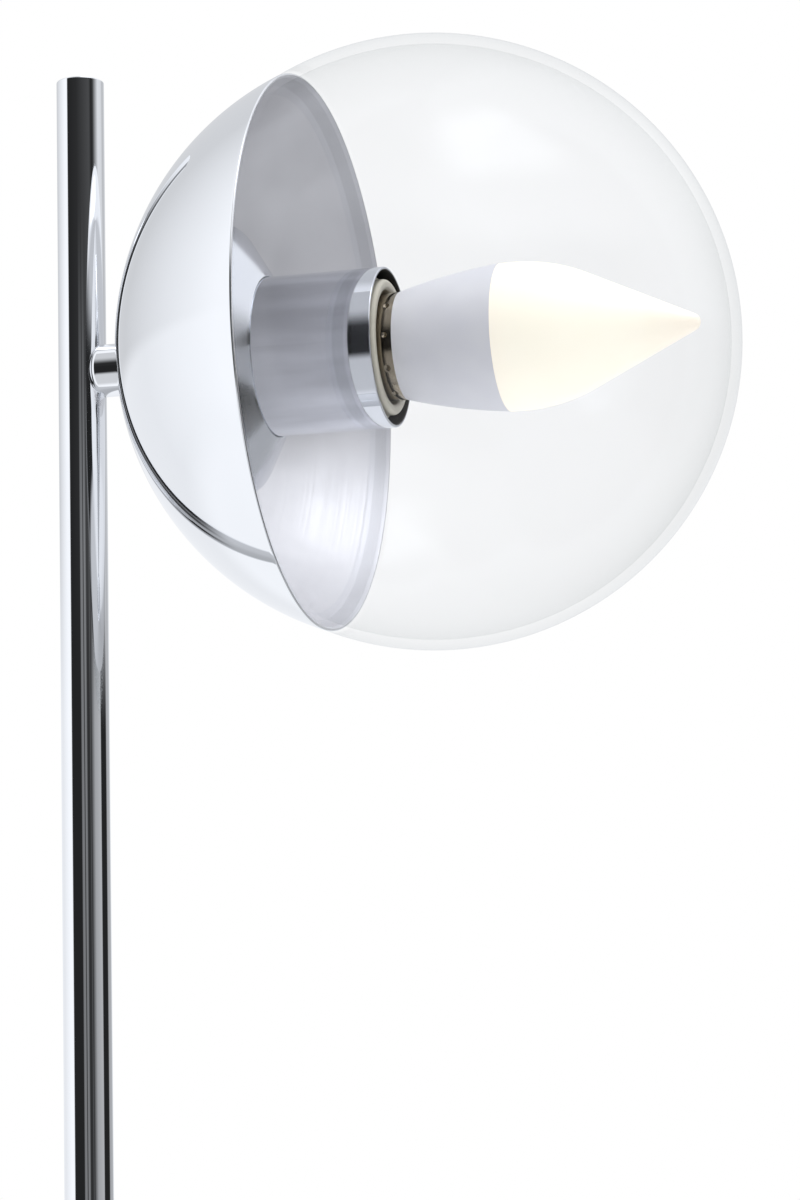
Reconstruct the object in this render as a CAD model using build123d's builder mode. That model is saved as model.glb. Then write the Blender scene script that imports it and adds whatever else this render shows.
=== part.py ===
from build123d import *
import os
from math import acos, atan2, degrees, hypot, pi, sqrt

# Chrome table lamp: a round weighted base, one slim pole, and a ball head held by a short side stub.
# The back of the ball is a polished metal cup, the front is a clear glass globe that pulls off forwards.
# Origin: middle of the base underside, under the pole. +Z is up, the head points along +X. Millimetres.
os.makedirs("parts", exist_ok=True)

# Main places
head_height = 385.0
globe_radius = 75.0
pole_above_head = 75.4

# Clearances
thread_clearance = 0.05
press_clearance = 0.03
slip_clearance = 0.10
turning_gap = 0.30

# Base
base_radius = 80.0
base_height = 20.0
base_wall = 1.2
base_edge_radius = 4.0
pad_thickness = 2.0
pad_setback = 0.6
weight_gap = 2.4
weight_ceiling = 4.0
nut_pocket_radius = 15.0

# Cord inlet in the back wall of the base
inlet_bore_radius = 3.3
inlet_neck_wall = 1.2
inlet_flange_step = 1.3
inlet_flange_thickness = 1.5

# Pole and the stud that holds it to the base
pole_radius = 6.0
pole_wall = 1.0
pole_edge_chamfer = 0.3
plug_length = 6.0
insert_length = 14.0
insert_wall = 0.92
stud_wall = 1.2
stud_tail = 0.3
foot_nut_flats = 13.0
foot_nut_height = 3.0
foot_washer_radius = 10.0
foot_washer_thickness = 1.2
earth_tag_thickness = 0.8
earth_tag_radius = 7.5
earth_tag_tail = 15.5
earth_tag_width = 5.0

# Inner wires
wire_radius = 0.9
wire_gap = 0.7
wire_level = 3.5
wire_bend_radius = 4.0
wire_entry = 3.0
wire_lead = 1.8

# Terminal block in the base
block_length = 24.0
block_pitch = 5.0
block_side = 3.0
block_gap = 10.5
block_bore_gap = 0.4
block_screw_radius = 1.4
block_screw_recess = 0.5
block_screw_spacing = 12.0
screw_slot_width = 0.6
screw_slot_depth = 0.7

# Stub and hollow nipple between pole and head
stub_radius = 6.6
stub_length = 8.0
stub_grip = 1.8
stub_edge_radius = 1.5
wire_passage_radius = 3.4
nipple_radius = 5.0
nipple_wall = 1.5
nipple_grip = 6.0

# Metal cup
cup_ball_share = 0.976  # radius of the cup's own ball, as a share of the globe's
cup_wall = 0.8
cup_flat_radius = 11.0
cup_setback = 30.0
cup_washer_radius = 9.0
cup_washer_thickness = 1.2
cup_nut_flats = 14.0
cup_nut_height = 3.0
rim_rounding = 0.4  # rounding of a sheet metal rim, as a share of its wall

# Glass globe and its seat
glass_wall = 2.6
globe_rim_gap = 0.3
collar_depth = 4.5
seat_ring_thickness = 0.5
seat_ring_width = 2.5
seat_ring_setback = 0.8

# Domed cover and sleeve round the lampholder
cover_radius = 33.7
cover_wall = 0.8
cover_edge_radius = 4.0
cover_height = 19.45
cover_rise = 8.5
cover_rest_gap = 0.25
sleeve_wall = 0.8
ring_proud = 0.3
sleeve_back_fillet = 2.0

# Lampholder
bridge_boss_radius = 8.0
bridge_boss_height = 7.0
bridge_plate_thickness = 1.6
bridge_screw_radius = 1.25
bridge_screw_head_radius = 2.0
bridge_screw_head_height = 1.8
bridge_screw_length = 9.0
holder_wall = 2.7
holder_gap = 1.45
pocket_wall = 4.0
partition_thickness = 6.0
socket_depth = 27.3
ring_thickness = 3.3
ring_cap_gap = 0.75
ring_step = 0.8
ring_spigot_length = 2.0
ring_fillet = 1.0
shell_wall = 1.2
shell_gap = 0.49
shell_base_thickness = 0.6
shell_base_ledge = 2.6
shell_tab_width = 6.0
terminal_length = 7.0
terminal_width = 6.0
terminal_height = 7.0
terminal_offset = 8.0
terminal_bore_gap = 0.3
terminal_wire_room = 8.0
terminal_screw_setback = 2.3
terminal_screw_head_radius = 2.2
terminal_screw_head_height = 1.6
rivet_radius = 1.4
rivet_head_radius = 2.2
rivet_head_height = 0.6
contact_thickness = 0.5
contact_width = 6.0
contact_tip_length = 4.0

# Screw thread of the bulb cap and lampholder
thread_pitch = 25.4 / 7
cap_core_radius = 12.13
cap_ridge_radius = 0.95
cap_ridge_turns = 3.4
shell_ridge_radius = 0.6
shell_ridge_inset = 0.3
shell_ridge_turns = 3.0

# Bulb
bulb_seat_height = 7.2
foot_contact_radius = 4.5
foot_contact_height = 0.8
foot_stem_radius = 3.0
foot_stem_length = 2.6
insulator_tip_radius = 5.5
insulator_height = 3.4
cap_end_step = 2.33
cap_height = 26.7
cap_wall = 0.6
cap_skirt_step = 1.07
cap_skirt_length = 6.6
cap_skirt_wall = 0.8
cap_dimple_radius = 1.0
cap_dimple_depth = 0.45
cap_dimple_count = 10
cap_dimple_setback = 1.8
body_neck_step = 0.1
body_length = 25.5
body_wall = 1.6
body_bulge = 0.6
bulb_radius = 18.05
bulb_tip_gap = 6.4
diffuser_wall = 1.2
diffuser_shoulder = 3.0
diffuser_curve_share = 0.877  # radius of the belly's curve, as a share of the diffuser's length
diffuser_tip_radius = 2.2
led_plate_thickness = 1.6
led_chip_ring_radius = 9.0
led_chip_size = 3.0
led_chip_height = 0.7
led_chip_count = 6
driver_width = 17.0
driver_thickness = 1.6
driver_length = 38.0

# Heights in the base and of the pole
inside_top = base_height - base_wall
weight_height = inside_top - pad_thickness
ceiling = inside_top - weight_ceiling
tag_bottom = ceiling - earth_tag_thickness
foot_washer_bottom = tag_bottom - foot_washer_thickness
foot_nut_bottom = foot_washer_bottom - foot_nut_height
stud_bottom = foot_nut_bottom - stud_tail
inlet_height = (pad_thickness + base_height - base_edge_radius) / 2
block_wire_height = pad_thickness + wire_level
pole_top = head_height + pole_above_head

# Radii and widths that fit, each worked out from the piece beside it
weight_radius = base_radius - base_wall - weight_gap
inlet_neck_radius = inlet_bore_radius + inlet_neck_wall
inlet_flange_radius = inlet_neck_radius + inlet_flange_step
block_width = 2 * (block_pitch + block_side)
block_distance = earth_tag_tail + block_gap + block_length / 2
block_bore_radius = wire_radius + block_bore_gap
wire_spread = wire_radius + wire_gap / 2
pole_bore_radius = pole_radius - pole_wall
stud_radius = pole_bore_radius - press_clearance - insert_wall - thread_clearance
stud_bore_radius = stud_radius - stud_wall
nipple_bore_radius = nipple_radius - nipple_wall
cup_radius = cup_ball_share * globe_radius
cup_inner_radius = cup_radius - cup_wall
rim_radius = sqrt(globe_radius**2 - cup_setback**2)
collar_radius = globe_radius - cup_wall - seat_ring_thickness - slip_clearance
glass_inner_radius = globe_radius - glass_wall
cap_skirt_radius = cap_core_radius + cap_skirt_step
insulator_radius = cap_core_radius - cap_end_step
body_neck_radius = cap_skirt_radius + body_neck_step
shell_bore_radius = cap_core_radius + cap_ridge_radius + shell_gap
shell_radius = shell_bore_radius + shell_wall
socket_radius = shell_radius + press_clearance
ring_hole_radius = cap_skirt_radius + ring_cap_gap
holder_radius = socket_radius + holder_wall
pocket_radius = holder_radius - pocket_wall
terminal_bore_radius = wire_radius + terminal_bore_gap
sleeve_radius = holder_radius + holder_gap + sleeve_wall
cover_hole_radius = sleeve_radius + slip_clearance

# Places along the head axis, counted from the pole axis
stub_start = pole_radius - stub_grip
cup_back = pole_radius + stub_length
cup_inside = cup_back + cup_wall
cup_centre = cup_back + sqrt(cup_radius**2 - cup_flat_radius**2)
cup_rim = cup_centre - sqrt(cup_radius**2 - rim_radius**2)
head_reach = cup_rim + cup_setback
globe_back = cup_rim + globe_rim_gap
cup_nut_back = cup_inside + cup_washer_thickness
sleeve_back = cup_nut_back + cup_nut_height
bridge_back = sleeve_back + sleeve_wall
bridge_plate_back = bridge_back + bridge_boss_height
holder_back = bridge_plate_back + bridge_plate_thickness
pocket_depth = terminal_wire_room + terminal_length + rivet_head_height
partition_back = holder_back + pocket_depth
partition_front = partition_back + partition_thickness
ring_back = partition_front + socket_depth
sleeve_length = ring_back + ring_thickness - ring_proud - sleeve_back
cover_back = cup_centre - sqrt(cup_inner_radius**2 - cover_radius**2) + cover_rest_gap
cover_face = cover_back + cover_height
bulb_foot_tip = partition_front + bulb_seat_height
cap_top = bulb_foot_tip + cap_height
body_front = cap_top + body_length
bulb_tip = head_reach + glass_inner_radius - bulb_tip_gap

# Shared frames: one profile plane for turned head pieces, and planes square to the head axis
rising = (Align.CENTER, Align.CENTER, Align.MIN)
head_axis = Axis((0, 0, head_height), (1, 0, 0))
head_profile = Plane(origin=(0, 0, head_height), x_dir=(1, 0, 0), z_dir=(0, -1, 0))


def across_head(x):
    """Plane square to the head axis at distance x from the pole axis, facing the globe."""
    return Plane(origin=(x, 0, head_height), x_dir=(0, 1, 0), z_dir=(1, 0, 0))


def ball_angle(centre, radius, x):
    """Angle at the centre of a ball, from the front, of the point at x on it."""
    return degrees(acos((x - centre) / radius))


def ball_height(centre, radius, x):
    """Distance from the head axis of the point at x on a ball."""
    return sqrt(radius**2 - (x - centre) ** 2)


# Base cover: a drawn chrome shell, open below, with a stud hole on top and a cord hole in the back wall
inlet_plane = Plane(origin=(-base_radius, 0, inlet_height), x_dir=(0, 1, 0), z_dir=(-1, 0, 0))
with BuildPart() as base_cover:
    with Locations((0, 0, pad_thickness)):
        Cylinder(base_radius, base_height - pad_thickness, align=rising)
    fillet(base_cover.edges().group_by(Axis.Z)[-1], base_edge_radius)
    offset(amount=-base_wall, openings=base_cover.faces().sort_by(Axis.Z)[0])
    with Locations((0, 0, base_height)):
        Hole(stud_radius + slip_clearance, depth=2 * base_wall)
    with Locations(inlet_plane):
        Cylinder(inlet_neck_radius + slip_clearance, 4 * base_wall, mode=Mode.SUBTRACT)
base_cover.part.label = "base_cover"
export_step(base_cover.part, "parts/base_cover.step")

# Base weight: a cast disc with a pocket for the nut and a channel that brings the cord to the middle
with BuildPart() as base_weight:
    with Locations((0, 0, pad_thickness)):
        Cylinder(weight_radius, weight_height, align=rising)
    fillet(base_weight.edges().group_by(Axis.Z)[-1], base_edge_radius)
    with BuildSketch(Plane.XY.offset(pad_thickness)):
        Circle(nut_pocket_radius)
        with Locations((-weight_radius / 2, 0)):
            Rectangle(weight_radius, block_width + 2 * turning_gap)
    extrude(amount=ceiling - pad_thickness, mode=Mode.SUBTRACT)
    Cylinder(stud_radius + slip_clearance, 2 * base_height, align=rising, mode=Mode.SUBTRACT)
base_weight.part.label = "base_weight"
export_step(base_weight.part, "parts/base_weight.step")

# Base pad: the non-slip rubber sheet that closes the underside
with BuildPart() as base_pad:
    Cylinder(base_radius - pad_setback, pad_thickness, align=rising)
base_pad.part.label = "base_pad"
export_step(base_pad.part, "parts/base_pad.step")

# Cord bushing: a flanged grommet clipped into the back wall
inlet_neck_length = base_radius - sqrt((base_radius - base_wall) ** 2 - inlet_flange_radius**2)
with BuildPart(inlet_plane) as cord_bushing:
    Cylinder(inlet_flange_radius, inlet_flange_thickness, align=rising)
    fillet(cord_bushing.edges().sort_by(Axis.X)[0], inlet_flange_thickness / 2)
    with Locations((0, 0, -inlet_neck_length)):
        Cylinder(inlet_neck_radius, inlet_neck_length, align=rising)
    with Locations((0, 0, -inlet_neck_length - inlet_flange_thickness)):
        Cylinder(inlet_flange_radius, inlet_flange_thickness, align=rising)
    Cylinder(inlet_bore_radius, 4 * (inlet_neck_length + inlet_flange_thickness), mode=Mode.SUBTRACT)
cord_bushing.part.label = "cord_bushing"
export_step(cord_bushing.part, "parts/cord_bushing.step")

# Terminal block: three ways side by side, held between the channel roof and the pad
block_top = ceiling - slip_clearance
block_bottom = pad_thickness + slip_clearance
block_bores = [(offset_y, block_wire_height) for offset_y in (-block_pitch, 0, block_pitch)]
with BuildPart() as terminal_block:
    with Locations((-block_distance, 0, block_bottom)):
        Box(block_length, block_width, block_top - block_bottom, align=rising)
    with BuildSketch(Plane.YZ.offset(-block_distance)):
        with Locations(*block_bores):
            Circle(block_bore_radius)
    extrude(amount=block_length, both=True, mode=Mode.SUBTRACT)
    with BuildSketch(Plane.XY.offset(block_bottom)):
        with Locations((-block_distance, 0)):
            with GridLocations(block_screw_spacing, block_pitch, 2, 3):
                Circle(block_screw_radius + slip_clearance)
    extrude(amount=block_wire_height - block_bottom, mode=Mode.SUBTRACT)
terminal_block.part.label = "terminal_block"
export_step(terminal_block.part, "parts/terminal_block.step")

# Terminal screws: six slotted grub screws that clamp the wires in the block
grub_top = block_wire_height - wire_radius - press_clearance
grub_bottom = block_bottom + block_screw_recess
with BuildPart() as terminal_screws:
    with BuildSketch(Plane.XY.offset(grub_top)):
        with Locations((-block_distance, 0)):
            with GridLocations(block_screw_spacing, block_pitch, 2, 3):
                Circle(block_screw_radius)
    extrude(amount=grub_bottom - grub_top)
    with BuildSketch(Plane.XY.offset(grub_bottom)):
        with Locations((-block_distance, 0)):
            with GridLocations(block_screw_spacing, block_pitch, 2, 3):
                Rectangle(2 * block_screw_radius, screw_slot_width)
    extrude(amount=screw_slot_depth, mode=Mode.SUBTRACT)
terminal_screws.part.label = "terminal_screws"
export_step(terminal_screws.part, "parts/terminal_screws.step")

# Earth tag: a ring clamped under the weight, with a tail for the earth wire
with BuildPart() as earth_tag:
    with BuildSketch(Plane.XY.offset(tag_bottom)):
        Circle(earth_tag_radius)
        with Locations((-earth_tag_tail / 2, 0)):
            Rectangle(earth_tag_tail, earth_tag_width)
        Circle(stud_radius + slip_clearance, mode=Mode.SUBTRACT)
    extrude(amount=earth_tag_thickness)
earth_tag.part.label = "earth_tag"
export_step(earth_tag.part, "parts/earth_tag.step")

# Foot washer and foot nut: pull the pole and the cover down on the weight
with BuildPart() as foot_washer:
    with BuildSketch(Plane.XY.offset(foot_washer_bottom)):
        Circle(foot_washer_radius)
        Circle(stud_radius + slip_clearance, mode=Mode.SUBTRACT)
    extrude(amount=foot_washer_thickness)
foot_washer.part.label = "foot_washer"
export_step(foot_washer.part, "parts/foot_washer.step")

with BuildPart() as foot_nut:
    with BuildSketch(Plane.XY.offset(foot_nut_bottom)):
        RegularPolygon(foot_nut_flats / 2, 6, major_radius=False)
        Circle(stud_radius + thread_clearance, mode=Mode.SUBTRACT)
    extrude(amount=foot_nut_height)
foot_nut.part.label = "foot_nut"
export_step(foot_nut.part, "parts/foot_nut.step")

# Foot stud: a hollow threaded tube from the nut up into the pole
with BuildPart() as foot_stud:
    with BuildSketch(Plane.XY.offset(stud_bottom)):
        Circle(stud_radius)
        Circle(stud_bore_radius, mode=Mode.SUBTRACT)
    extrude(amount=base_height + insert_length - stud_bottom)
foot_stud.part.label = "foot_stud"
export_step(foot_stud.part, "parts/foot_stud.step")

# Foot insert: the tapped brass bush pressed into the lower end of the pole
with BuildPart() as foot_insert:
    with BuildSketch(Plane.XY.offset(base_height)):
        Circle(pole_bore_radius - press_clearance)
        Circle(stud_radius + thread_clearance, mode=Mode.SUBTRACT)
    extrude(amount=insert_length)
foot_insert.part.label = "foot_insert"
export_step(foot_insert.part, "parts/foot_insert.step")

# Pole: a plain round tube with a side hole for the wires at head height
with BuildPart() as pole_tube:
    with Locations((0, 0, base_height)):
        Cylinder(pole_radius, pole_top - base_height, align=rising)
    chamfer(pole_tube.edges().group_by(Axis.Z)[-1], pole_edge_chamfer)
    Cylinder(pole_bore_radius, 2 * pole_top, align=rising, mode=Mode.SUBTRACT)
    with Locations(across_head(0)):
        Cylinder(wire_passage_radius, 2 * pole_radius, align=rising, mode=Mode.SUBTRACT)
pole_tube.part.label = "pole_tube"
export_step(pole_tube.part, "parts/pole_tube.step")

# Pole plug: closes the top of the tube, flush with its end
with BuildPart() as pole_plug:
    with Locations((0, 0, pole_top - plug_length)):
        Cylinder(pole_bore_radius - press_clearance, plug_length, align=rising)
    chamfer(pole_plug.edges().group_by(Axis.Z)[-1], pole_edge_chamfer)
pole_plug.part.label = "pole_plug"
export_step(pole_plug.part, "parts/pole_plug.step")

# Head stub: a short turned spacer, saddled on the pole, that carries the cup
with BuildPart() as head_stub:
    with Locations(across_head(stub_start)):
        Cylinder(stub_radius, cup_back - stub_start, align=rising)
    fillet(head_stub.edges().group_by(Axis.X)[0], stub_edge_radius)
    with Locations(across_head(stub_start)):
        Cylinder(wire_passage_radius, cup_back - stub_start, align=rising, mode=Mode.SUBTRACT)
    with Locations(across_head(cup_back - nipple_grip)):
        Cylinder(nipple_radius + thread_clearance, nipple_grip, align=rising, mode=Mode.SUBTRACT)
    with Locations((0, 0, head_height)):
        Cylinder(pole_radius, 4 * stub_radius, mode=Mode.SUBTRACT)
head_stub.part.label = "head_stub"
export_step(head_stub.part, "parts/head_stub.step")

# Head nipple: the hollow threaded tube from the stub through cup, nut and sleeve into the bridge
with BuildPart(across_head(cup_back - nipple_grip)) as head_nipple:
    Cylinder(nipple_radius, holder_back - cup_back + nipple_grip, align=rising)
    Hole(nipple_bore_radius)
head_nipple.part.label = "head_nipple"
export_step(head_nipple.part, "parts/head_nipple.step")

# Reflector cup: a thin spun part-ball, a little deeper than the globe's own round, with a flat seat
with BuildPart() as reflector_cup:
    flat_inside_radius = ball_height(cup_centre, cup_inner_radius, cup_inside)
    outer_start = ball_angle(cup_centre, cup_radius, cup_back)
    outer_end = ball_angle(cup_centre, cup_radius, cup_rim)
    inner_start = ball_angle(cup_centre, cup_inner_radius, cup_rim)
    inner_end = ball_angle(cup_centre, cup_inner_radius, cup_inside)
    nipple_hole_radius = nipple_radius + slip_clearance
    with BuildSketch(head_profile):
        with BuildLine():
            Line((cup_back, nipple_hole_radius), (cup_back, cup_flat_radius))
            CenterArc((cup_centre, 0), cup_radius, outer_start, outer_end - outer_start)
            Line(
                (cup_rim, rim_radius),
                (cup_rim, ball_height(cup_centre, cup_inner_radius, cup_rim)),
            )
            CenterArc((cup_centre, 0), cup_inner_radius, inner_start, inner_end - inner_start)
            Polyline(
                (cup_inside, flat_inside_radius),
                (cup_inside, nipple_hole_radius),
                (cup_back, nipple_hole_radius),
            )
        make_face()
    revolve(axis=head_axis)
    fillet(reflector_cup.edges().group_by(Axis.X)[-1], rim_rounding * cup_wall)
reflector_cup.part.label = "reflector_cup"
export_step(reflector_cup.part, "parts/reflector_cup.step")

# Cup washer and cup nut: clamp the cup against the stub from inside
with BuildPart(across_head(cup_inside)) as cup_washer:
    Cylinder(cup_washer_radius, cup_washer_thickness, align=rising)
    Hole(nipple_radius + slip_clearance)
cup_washer.part.label = "cup_washer"
export_step(cup_washer.part, "parts/cup_washer.step")

with BuildPart() as cup_nut:
    with BuildSketch(across_head(cup_nut_back)):
        RegularPolygon(cup_nut_flats / 2, 6, major_radius=False)
        Circle(nipple_radius + thread_clearance, mode=Mode.SUBTRACT)
    extrude(amount=cup_nut_height)
cup_nut.part.label = "cup_nut"
export_step(cup_nut.part, "parts/cup_nut.step")

# Glass globe: flush with the cup outside, with a thinner collar that slips inside the cup rim
collar_back = globe_back - collar_depth
with BuildPart() as glass_globe:
    shoulder_angle = ball_angle(head_reach, globe_radius, globe_back)
    collar_start = ball_angle(head_reach, collar_radius, globe_back)
    collar_end = ball_angle(head_reach, collar_radius, collar_back)
    inner_angle = ball_angle(head_reach, glass_inner_radius, collar_back)
    with BuildSketch(head_profile):
        with BuildLine():
            CenterArc((head_reach, 0), globe_radius, 0, shoulder_angle)
            Line(
                (globe_back, ball_height(head_reach, globe_radius, globe_back)),
                (globe_back, ball_height(head_reach, collar_radius, globe_back)),
            )
            CenterArc((head_reach, 0), collar_radius, collar_start, collar_end - collar_start)
            Line(
                (collar_back, ball_height(head_reach, collar_radius, collar_back)),
                (collar_back, ball_height(head_reach, glass_inner_radius, collar_back)),
            )
            CenterArc((head_reach, 0), glass_inner_radius, inner_angle, -inner_angle)
            Line((head_reach + glass_inner_radius, 0), (head_reach + globe_radius, 0))
        make_face()
    revolve(axis=head_axis)
glass_globe.part.label = "glass_globe"
export_step(glass_globe.part, "parts/glass_globe.step")

# Globe ring: the soft seat band just inside the cup rim that grips the glass collar
ring_seat_radius = collar_radius + slip_clearance
ring_band_radius = cup_inner_radius - press_clearance
ring_seat_front = cup_rim - seat_ring_setback
ring_seat_back = ring_seat_front - seat_ring_width
with BuildPart() as globe_ring:
    band_start = ball_angle(cup_centre, ring_band_radius, ring_seat_front)
    band_end = ball_angle(cup_centre, ring_band_radius, ring_seat_back)
    grip_start = ball_angle(head_reach, ring_seat_radius, ring_seat_back)
    grip_end = ball_angle(head_reach, ring_seat_radius, ring_seat_front)
    with BuildSketch(head_profile):
        with BuildLine():
            CenterArc((cup_centre, 0), ring_band_radius, band_start, band_end - band_start)
            Line(
                (ring_seat_back, ball_height(cup_centre, ring_band_radius, ring_seat_back)),
                (ring_seat_back, ball_height(head_reach, ring_seat_radius, ring_seat_back)),
            )
            CenterArc((head_reach, 0), ring_seat_radius, grip_start, grip_end - grip_start)
            Line(
                (ring_seat_front, ball_height(head_reach, ring_seat_radius, ring_seat_front)),
                (ring_seat_front, ball_height(cup_centre, ring_band_radius, ring_seat_front)),
            )
        make_face()
    revolve(axis=head_axis)
globe_ring.part.label = "globe_ring"
export_step(globe_ring.part, "parts/globe_ring.step")

# Holder sleeve: the long chrome cup that hides the lampholder, clamped by its back on the nipple
with BuildPart(across_head(sleeve_back)) as holder_sleeve:
    Cylinder(sleeve_radius, sleeve_length, align=rising)
    fillet(holder_sleeve.edges().group_by(Axis.X)[0], sleeve_back_fillet)
    offset(amount=-sleeve_wall, openings=holder_sleeve.faces().sort_by(Axis.X)[-1])
    fillet(holder_sleeve.edges().group_by(Axis.X)[-1], rim_rounding * sleeve_wall)
    Hole(nipple_radius + slip_clearance)
holder_sleeve.part.label = "holder_sleeve"
export_step(holder_sleeve.part, "parts/holder_sleeve.step")

# Holder cover: a low domed drum pushed over the sleeve down to the cup, hiding the nut
with BuildPart() as holder_cover:
    with BuildSketch(head_profile):
        with BuildLine():
            Polyline(
                (cover_back, 0),
                (cover_back, cover_radius),
                (cover_face, cover_radius),
                (cover_face + cover_rise, cover_hole_radius),
                (cover_face + cover_rise, 0),
                close=True,
            )
        make_face()
    revolve(axis=head_axis)
    rim_edge = holder_cover.edges().filter_by(GeomType.CIRCLE).filter_by_position(
        Axis.X, cover_face - turning_gap, cover_face + turning_gap
    )
    fillet(rim_edge, cover_edge_radius)
    offset(amount=-cover_wall, openings=holder_cover.faces().sort_by(Axis.X)[0])
    with Locations(across_head(cover_face)):
        Cylinder(cover_hole_radius, 4 * cover_rise + 4 * cover_wall, mode=Mode.SUBTRACT)
holder_cover.part.label = "holder_cover"
export_step(holder_cover.part, "parts/holder_cover.step")

# Holder bridge: the tapped plate that fixes the lampholder body to the nipple
bridge_screw_distance = (pocket_radius + holder_radius) / 2
with BuildPart(across_head(bridge_back)) as holder_bridge:
    Cylinder(bridge_boss_radius, bridge_boss_height, align=rising)
    with Locations((0, 0, bridge_boss_height)):
        Cylinder(holder_radius, bridge_plate_thickness, align=rising)
    Hole(nipple_radius + thread_clearance)
    with PolarLocations(bridge_screw_distance, 2, 90):
        Hole(bridge_screw_radius + slip_clearance)
holder_bridge.part.label = "holder_bridge"
export_step(holder_bridge.part, "parts/holder_bridge.step")

# Bridge screws: two pan heads behind the plate
with BuildPart(across_head(bridge_plate_back)) as bridge_screws:
    with PolarLocations(bridge_screw_distance, 2, 90):
        Cylinder(bridge_screw_radius, bridge_screw_length, align=rising)
        Cylinder(
            bridge_screw_head_radius,
            bridge_screw_head_height,
            align=(Align.CENTER, Align.CENTER, Align.MAX),
        )
bridge_screws.part.label = "bridge_screws"
export_step(bridge_screws.part, "parts/bridge_screws.step")

# Holder body: the cream moulded barrel, with a wiring pocket behind and the bulb socket in front
with BuildPart(across_head(holder_back)) as holder_body:
    Cylinder(holder_radius, ring_back - holder_back, align=rising)
    Cylinder(pocket_radius, pocket_depth, align=rising, mode=Mode.SUBTRACT)
    with Locations((0, 0, partition_front - holder_back)):
        Cylinder(socket_radius, socket_depth, align=rising, mode=Mode.SUBTRACT)
    with PolarLocations(terminal_offset, 2):
        Cylinder(rivet_radius + slip_clearance, 2 * socket_depth, mode=Mode.SUBTRACT)
    with PolarLocations(bridge_screw_distance, 2, 90):
        Cylinder(bridge_screw_radius + thread_clearance, 2 * bridge_screw_length, mode=Mode.SUBTRACT)
holder_body.part.label = "holder_body"
export_step(holder_body.part, "parts/holder_body.step")

# Holder ring: the cream front ring that closes the barrel round the bulb cap
with BuildPart(across_head(ring_back)) as holder_ring:
    Cylinder(holder_radius - ring_step, ring_thickness, align=rising)
    with Locations((0, 0, -ring_spigot_length)):
        Cylinder(socket_radius - press_clearance, ring_spigot_length, align=rising)
    Hole(ring_hole_radius)
    fillet(holder_ring.edges().group_by(Axis.X)[-1], ring_fillet)
holder_ring.part.label = "holder_ring"
export_step(holder_ring.part, "parts/holder_ring.step")

# Holder shell: the brass screw contact, with its inner ridge lying in the groove of the bulb cap
shell_ridge_path_radius = shell_bore_radius - shell_ridge_inset
cap_ridge_start = cap_top - cap_skirt_length - cap_ridge_turns * thread_pitch - cap_ridge_radius
shell_ridge_start = cap_ridge_start - thread_pitch / 2
with BuildPart() as holder_shell:
    with BuildSketch(across_head(partition_front)):
        Circle(shell_radius)
        Circle(shell_bore_radius, mode=Mode.SUBTRACT)
    extrude(amount=socket_depth - ring_spigot_length)
    with BuildSketch(across_head(partition_front)):
        Circle(shell_radius)
        Circle(shell_radius - shell_base_ledge, mode=Mode.SUBTRACT)
        with Locations((-terminal_offset - rivet_head_radius / 2, 0)):
            Rectangle(2 * rivet_head_radius + shell_base_ledge, shell_tab_width)
        with Locations((-terminal_offset, 0)):
            Circle(rivet_radius + slip_clearance, mode=Mode.SUBTRACT)
    extrude(amount=shell_base_thickness)
    with BuildLine() as shell_path:
        Helix(
            thread_pitch,
            shell_ridge_turns * thread_pitch,
            shell_ridge_path_radius,
            center=(shell_ridge_start, 0, head_height),
            direction=(1, 0, 0),
        )
    with BuildSketch(Plane(origin=shell_path.line @ 0, z_dir=shell_path.line % 0)):
        Circle(shell_ridge_radius)
    sweep(path=shell_path.line, is_frenet=True)
holder_shell.part.label = "holder_shell"
export_step(holder_shell.part, "parts/holder_shell.step")

# Holder contact: the sprung tongue under the foot of the bulb
contact_tip_height = bulb_foot_tip - turning_gap
contact_foot_end = terminal_offset + rivet_head_radius + turning_gap
contact_foot_start = terminal_offset - rivet_head_radius - turning_gap
with BuildPart() as holder_contact:
    with BuildSketch(Plane(origin=(0, 0, head_height - contact_width / 2))):
        with BuildLine():
            tongue = Polyline(
                (partition_front + contact_thickness / 2, contact_foot_end),
                (partition_front + contact_thickness / 2, contact_foot_start),
                (contact_tip_height - contact_thickness / 2, contact_tip_length / 2),
                (contact_tip_height - contact_thickness / 2, -contact_tip_length / 2),
            )
            offset(tongue, amount=contact_thickness / 2, side=Side.BOTH, kind=Kind.INTERSECTION)
        make_face()
    extrude(amount=contact_width)
    with Locations(across_head(partition_front)):
        with Locations((terminal_offset, 0)):
            Cylinder(rivet_radius + slip_clearance, 4 * contact_thickness, mode=Mode.SUBTRACT)
holder_contact.part.label = "holder_contact"
export_step(holder_contact.part, "parts/holder_contact.step")

# Contact rivets: carry the current through the partition, one for the tongue and one for the shell
rivet_seats = {1: contact_thickness, -1: shell_base_thickness}
with BuildPart(across_head(partition_back)) as contact_rivets:
    for side, seat in rivet_seats.items():
        with Locations((side * terminal_offset, 0, 0)):
            Cylinder(rivet_radius, partition_thickness + seat, align=rising)
            Cylinder(
                rivet_head_radius, rivet_head_height, align=(Align.CENTER, Align.CENTER, Align.MAX)
            )
        with Locations((side * terminal_offset, 0, partition_thickness + seat)):
            Cylinder(rivet_head_radius, rivet_head_height, align=rising)
contact_rivets.part.label = "contact_rivets"
export_step(contact_rivets.part, "parts/contact_rivets.step")

# Holder terminals: two brass clamp blocks behind the partition
terminal_front = partition_back - rivet_head_height
terminal_back = terminal_front - terminal_length
with BuildPart(across_head(terminal_back)) as holder_terminals:
    with PolarLocations(terminal_offset, 2):
        Box(terminal_width, terminal_height, terminal_length, align=rising)
    with PolarLocations(terminal_offset, 2):
        Cylinder(terminal_bore_radius, 2 * wire_entry, mode=Mode.SUBTRACT)
holder_terminals.part.label = "holder_terminals"
export_step(holder_terminals.part, "parts/holder_terminals.step")

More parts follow.
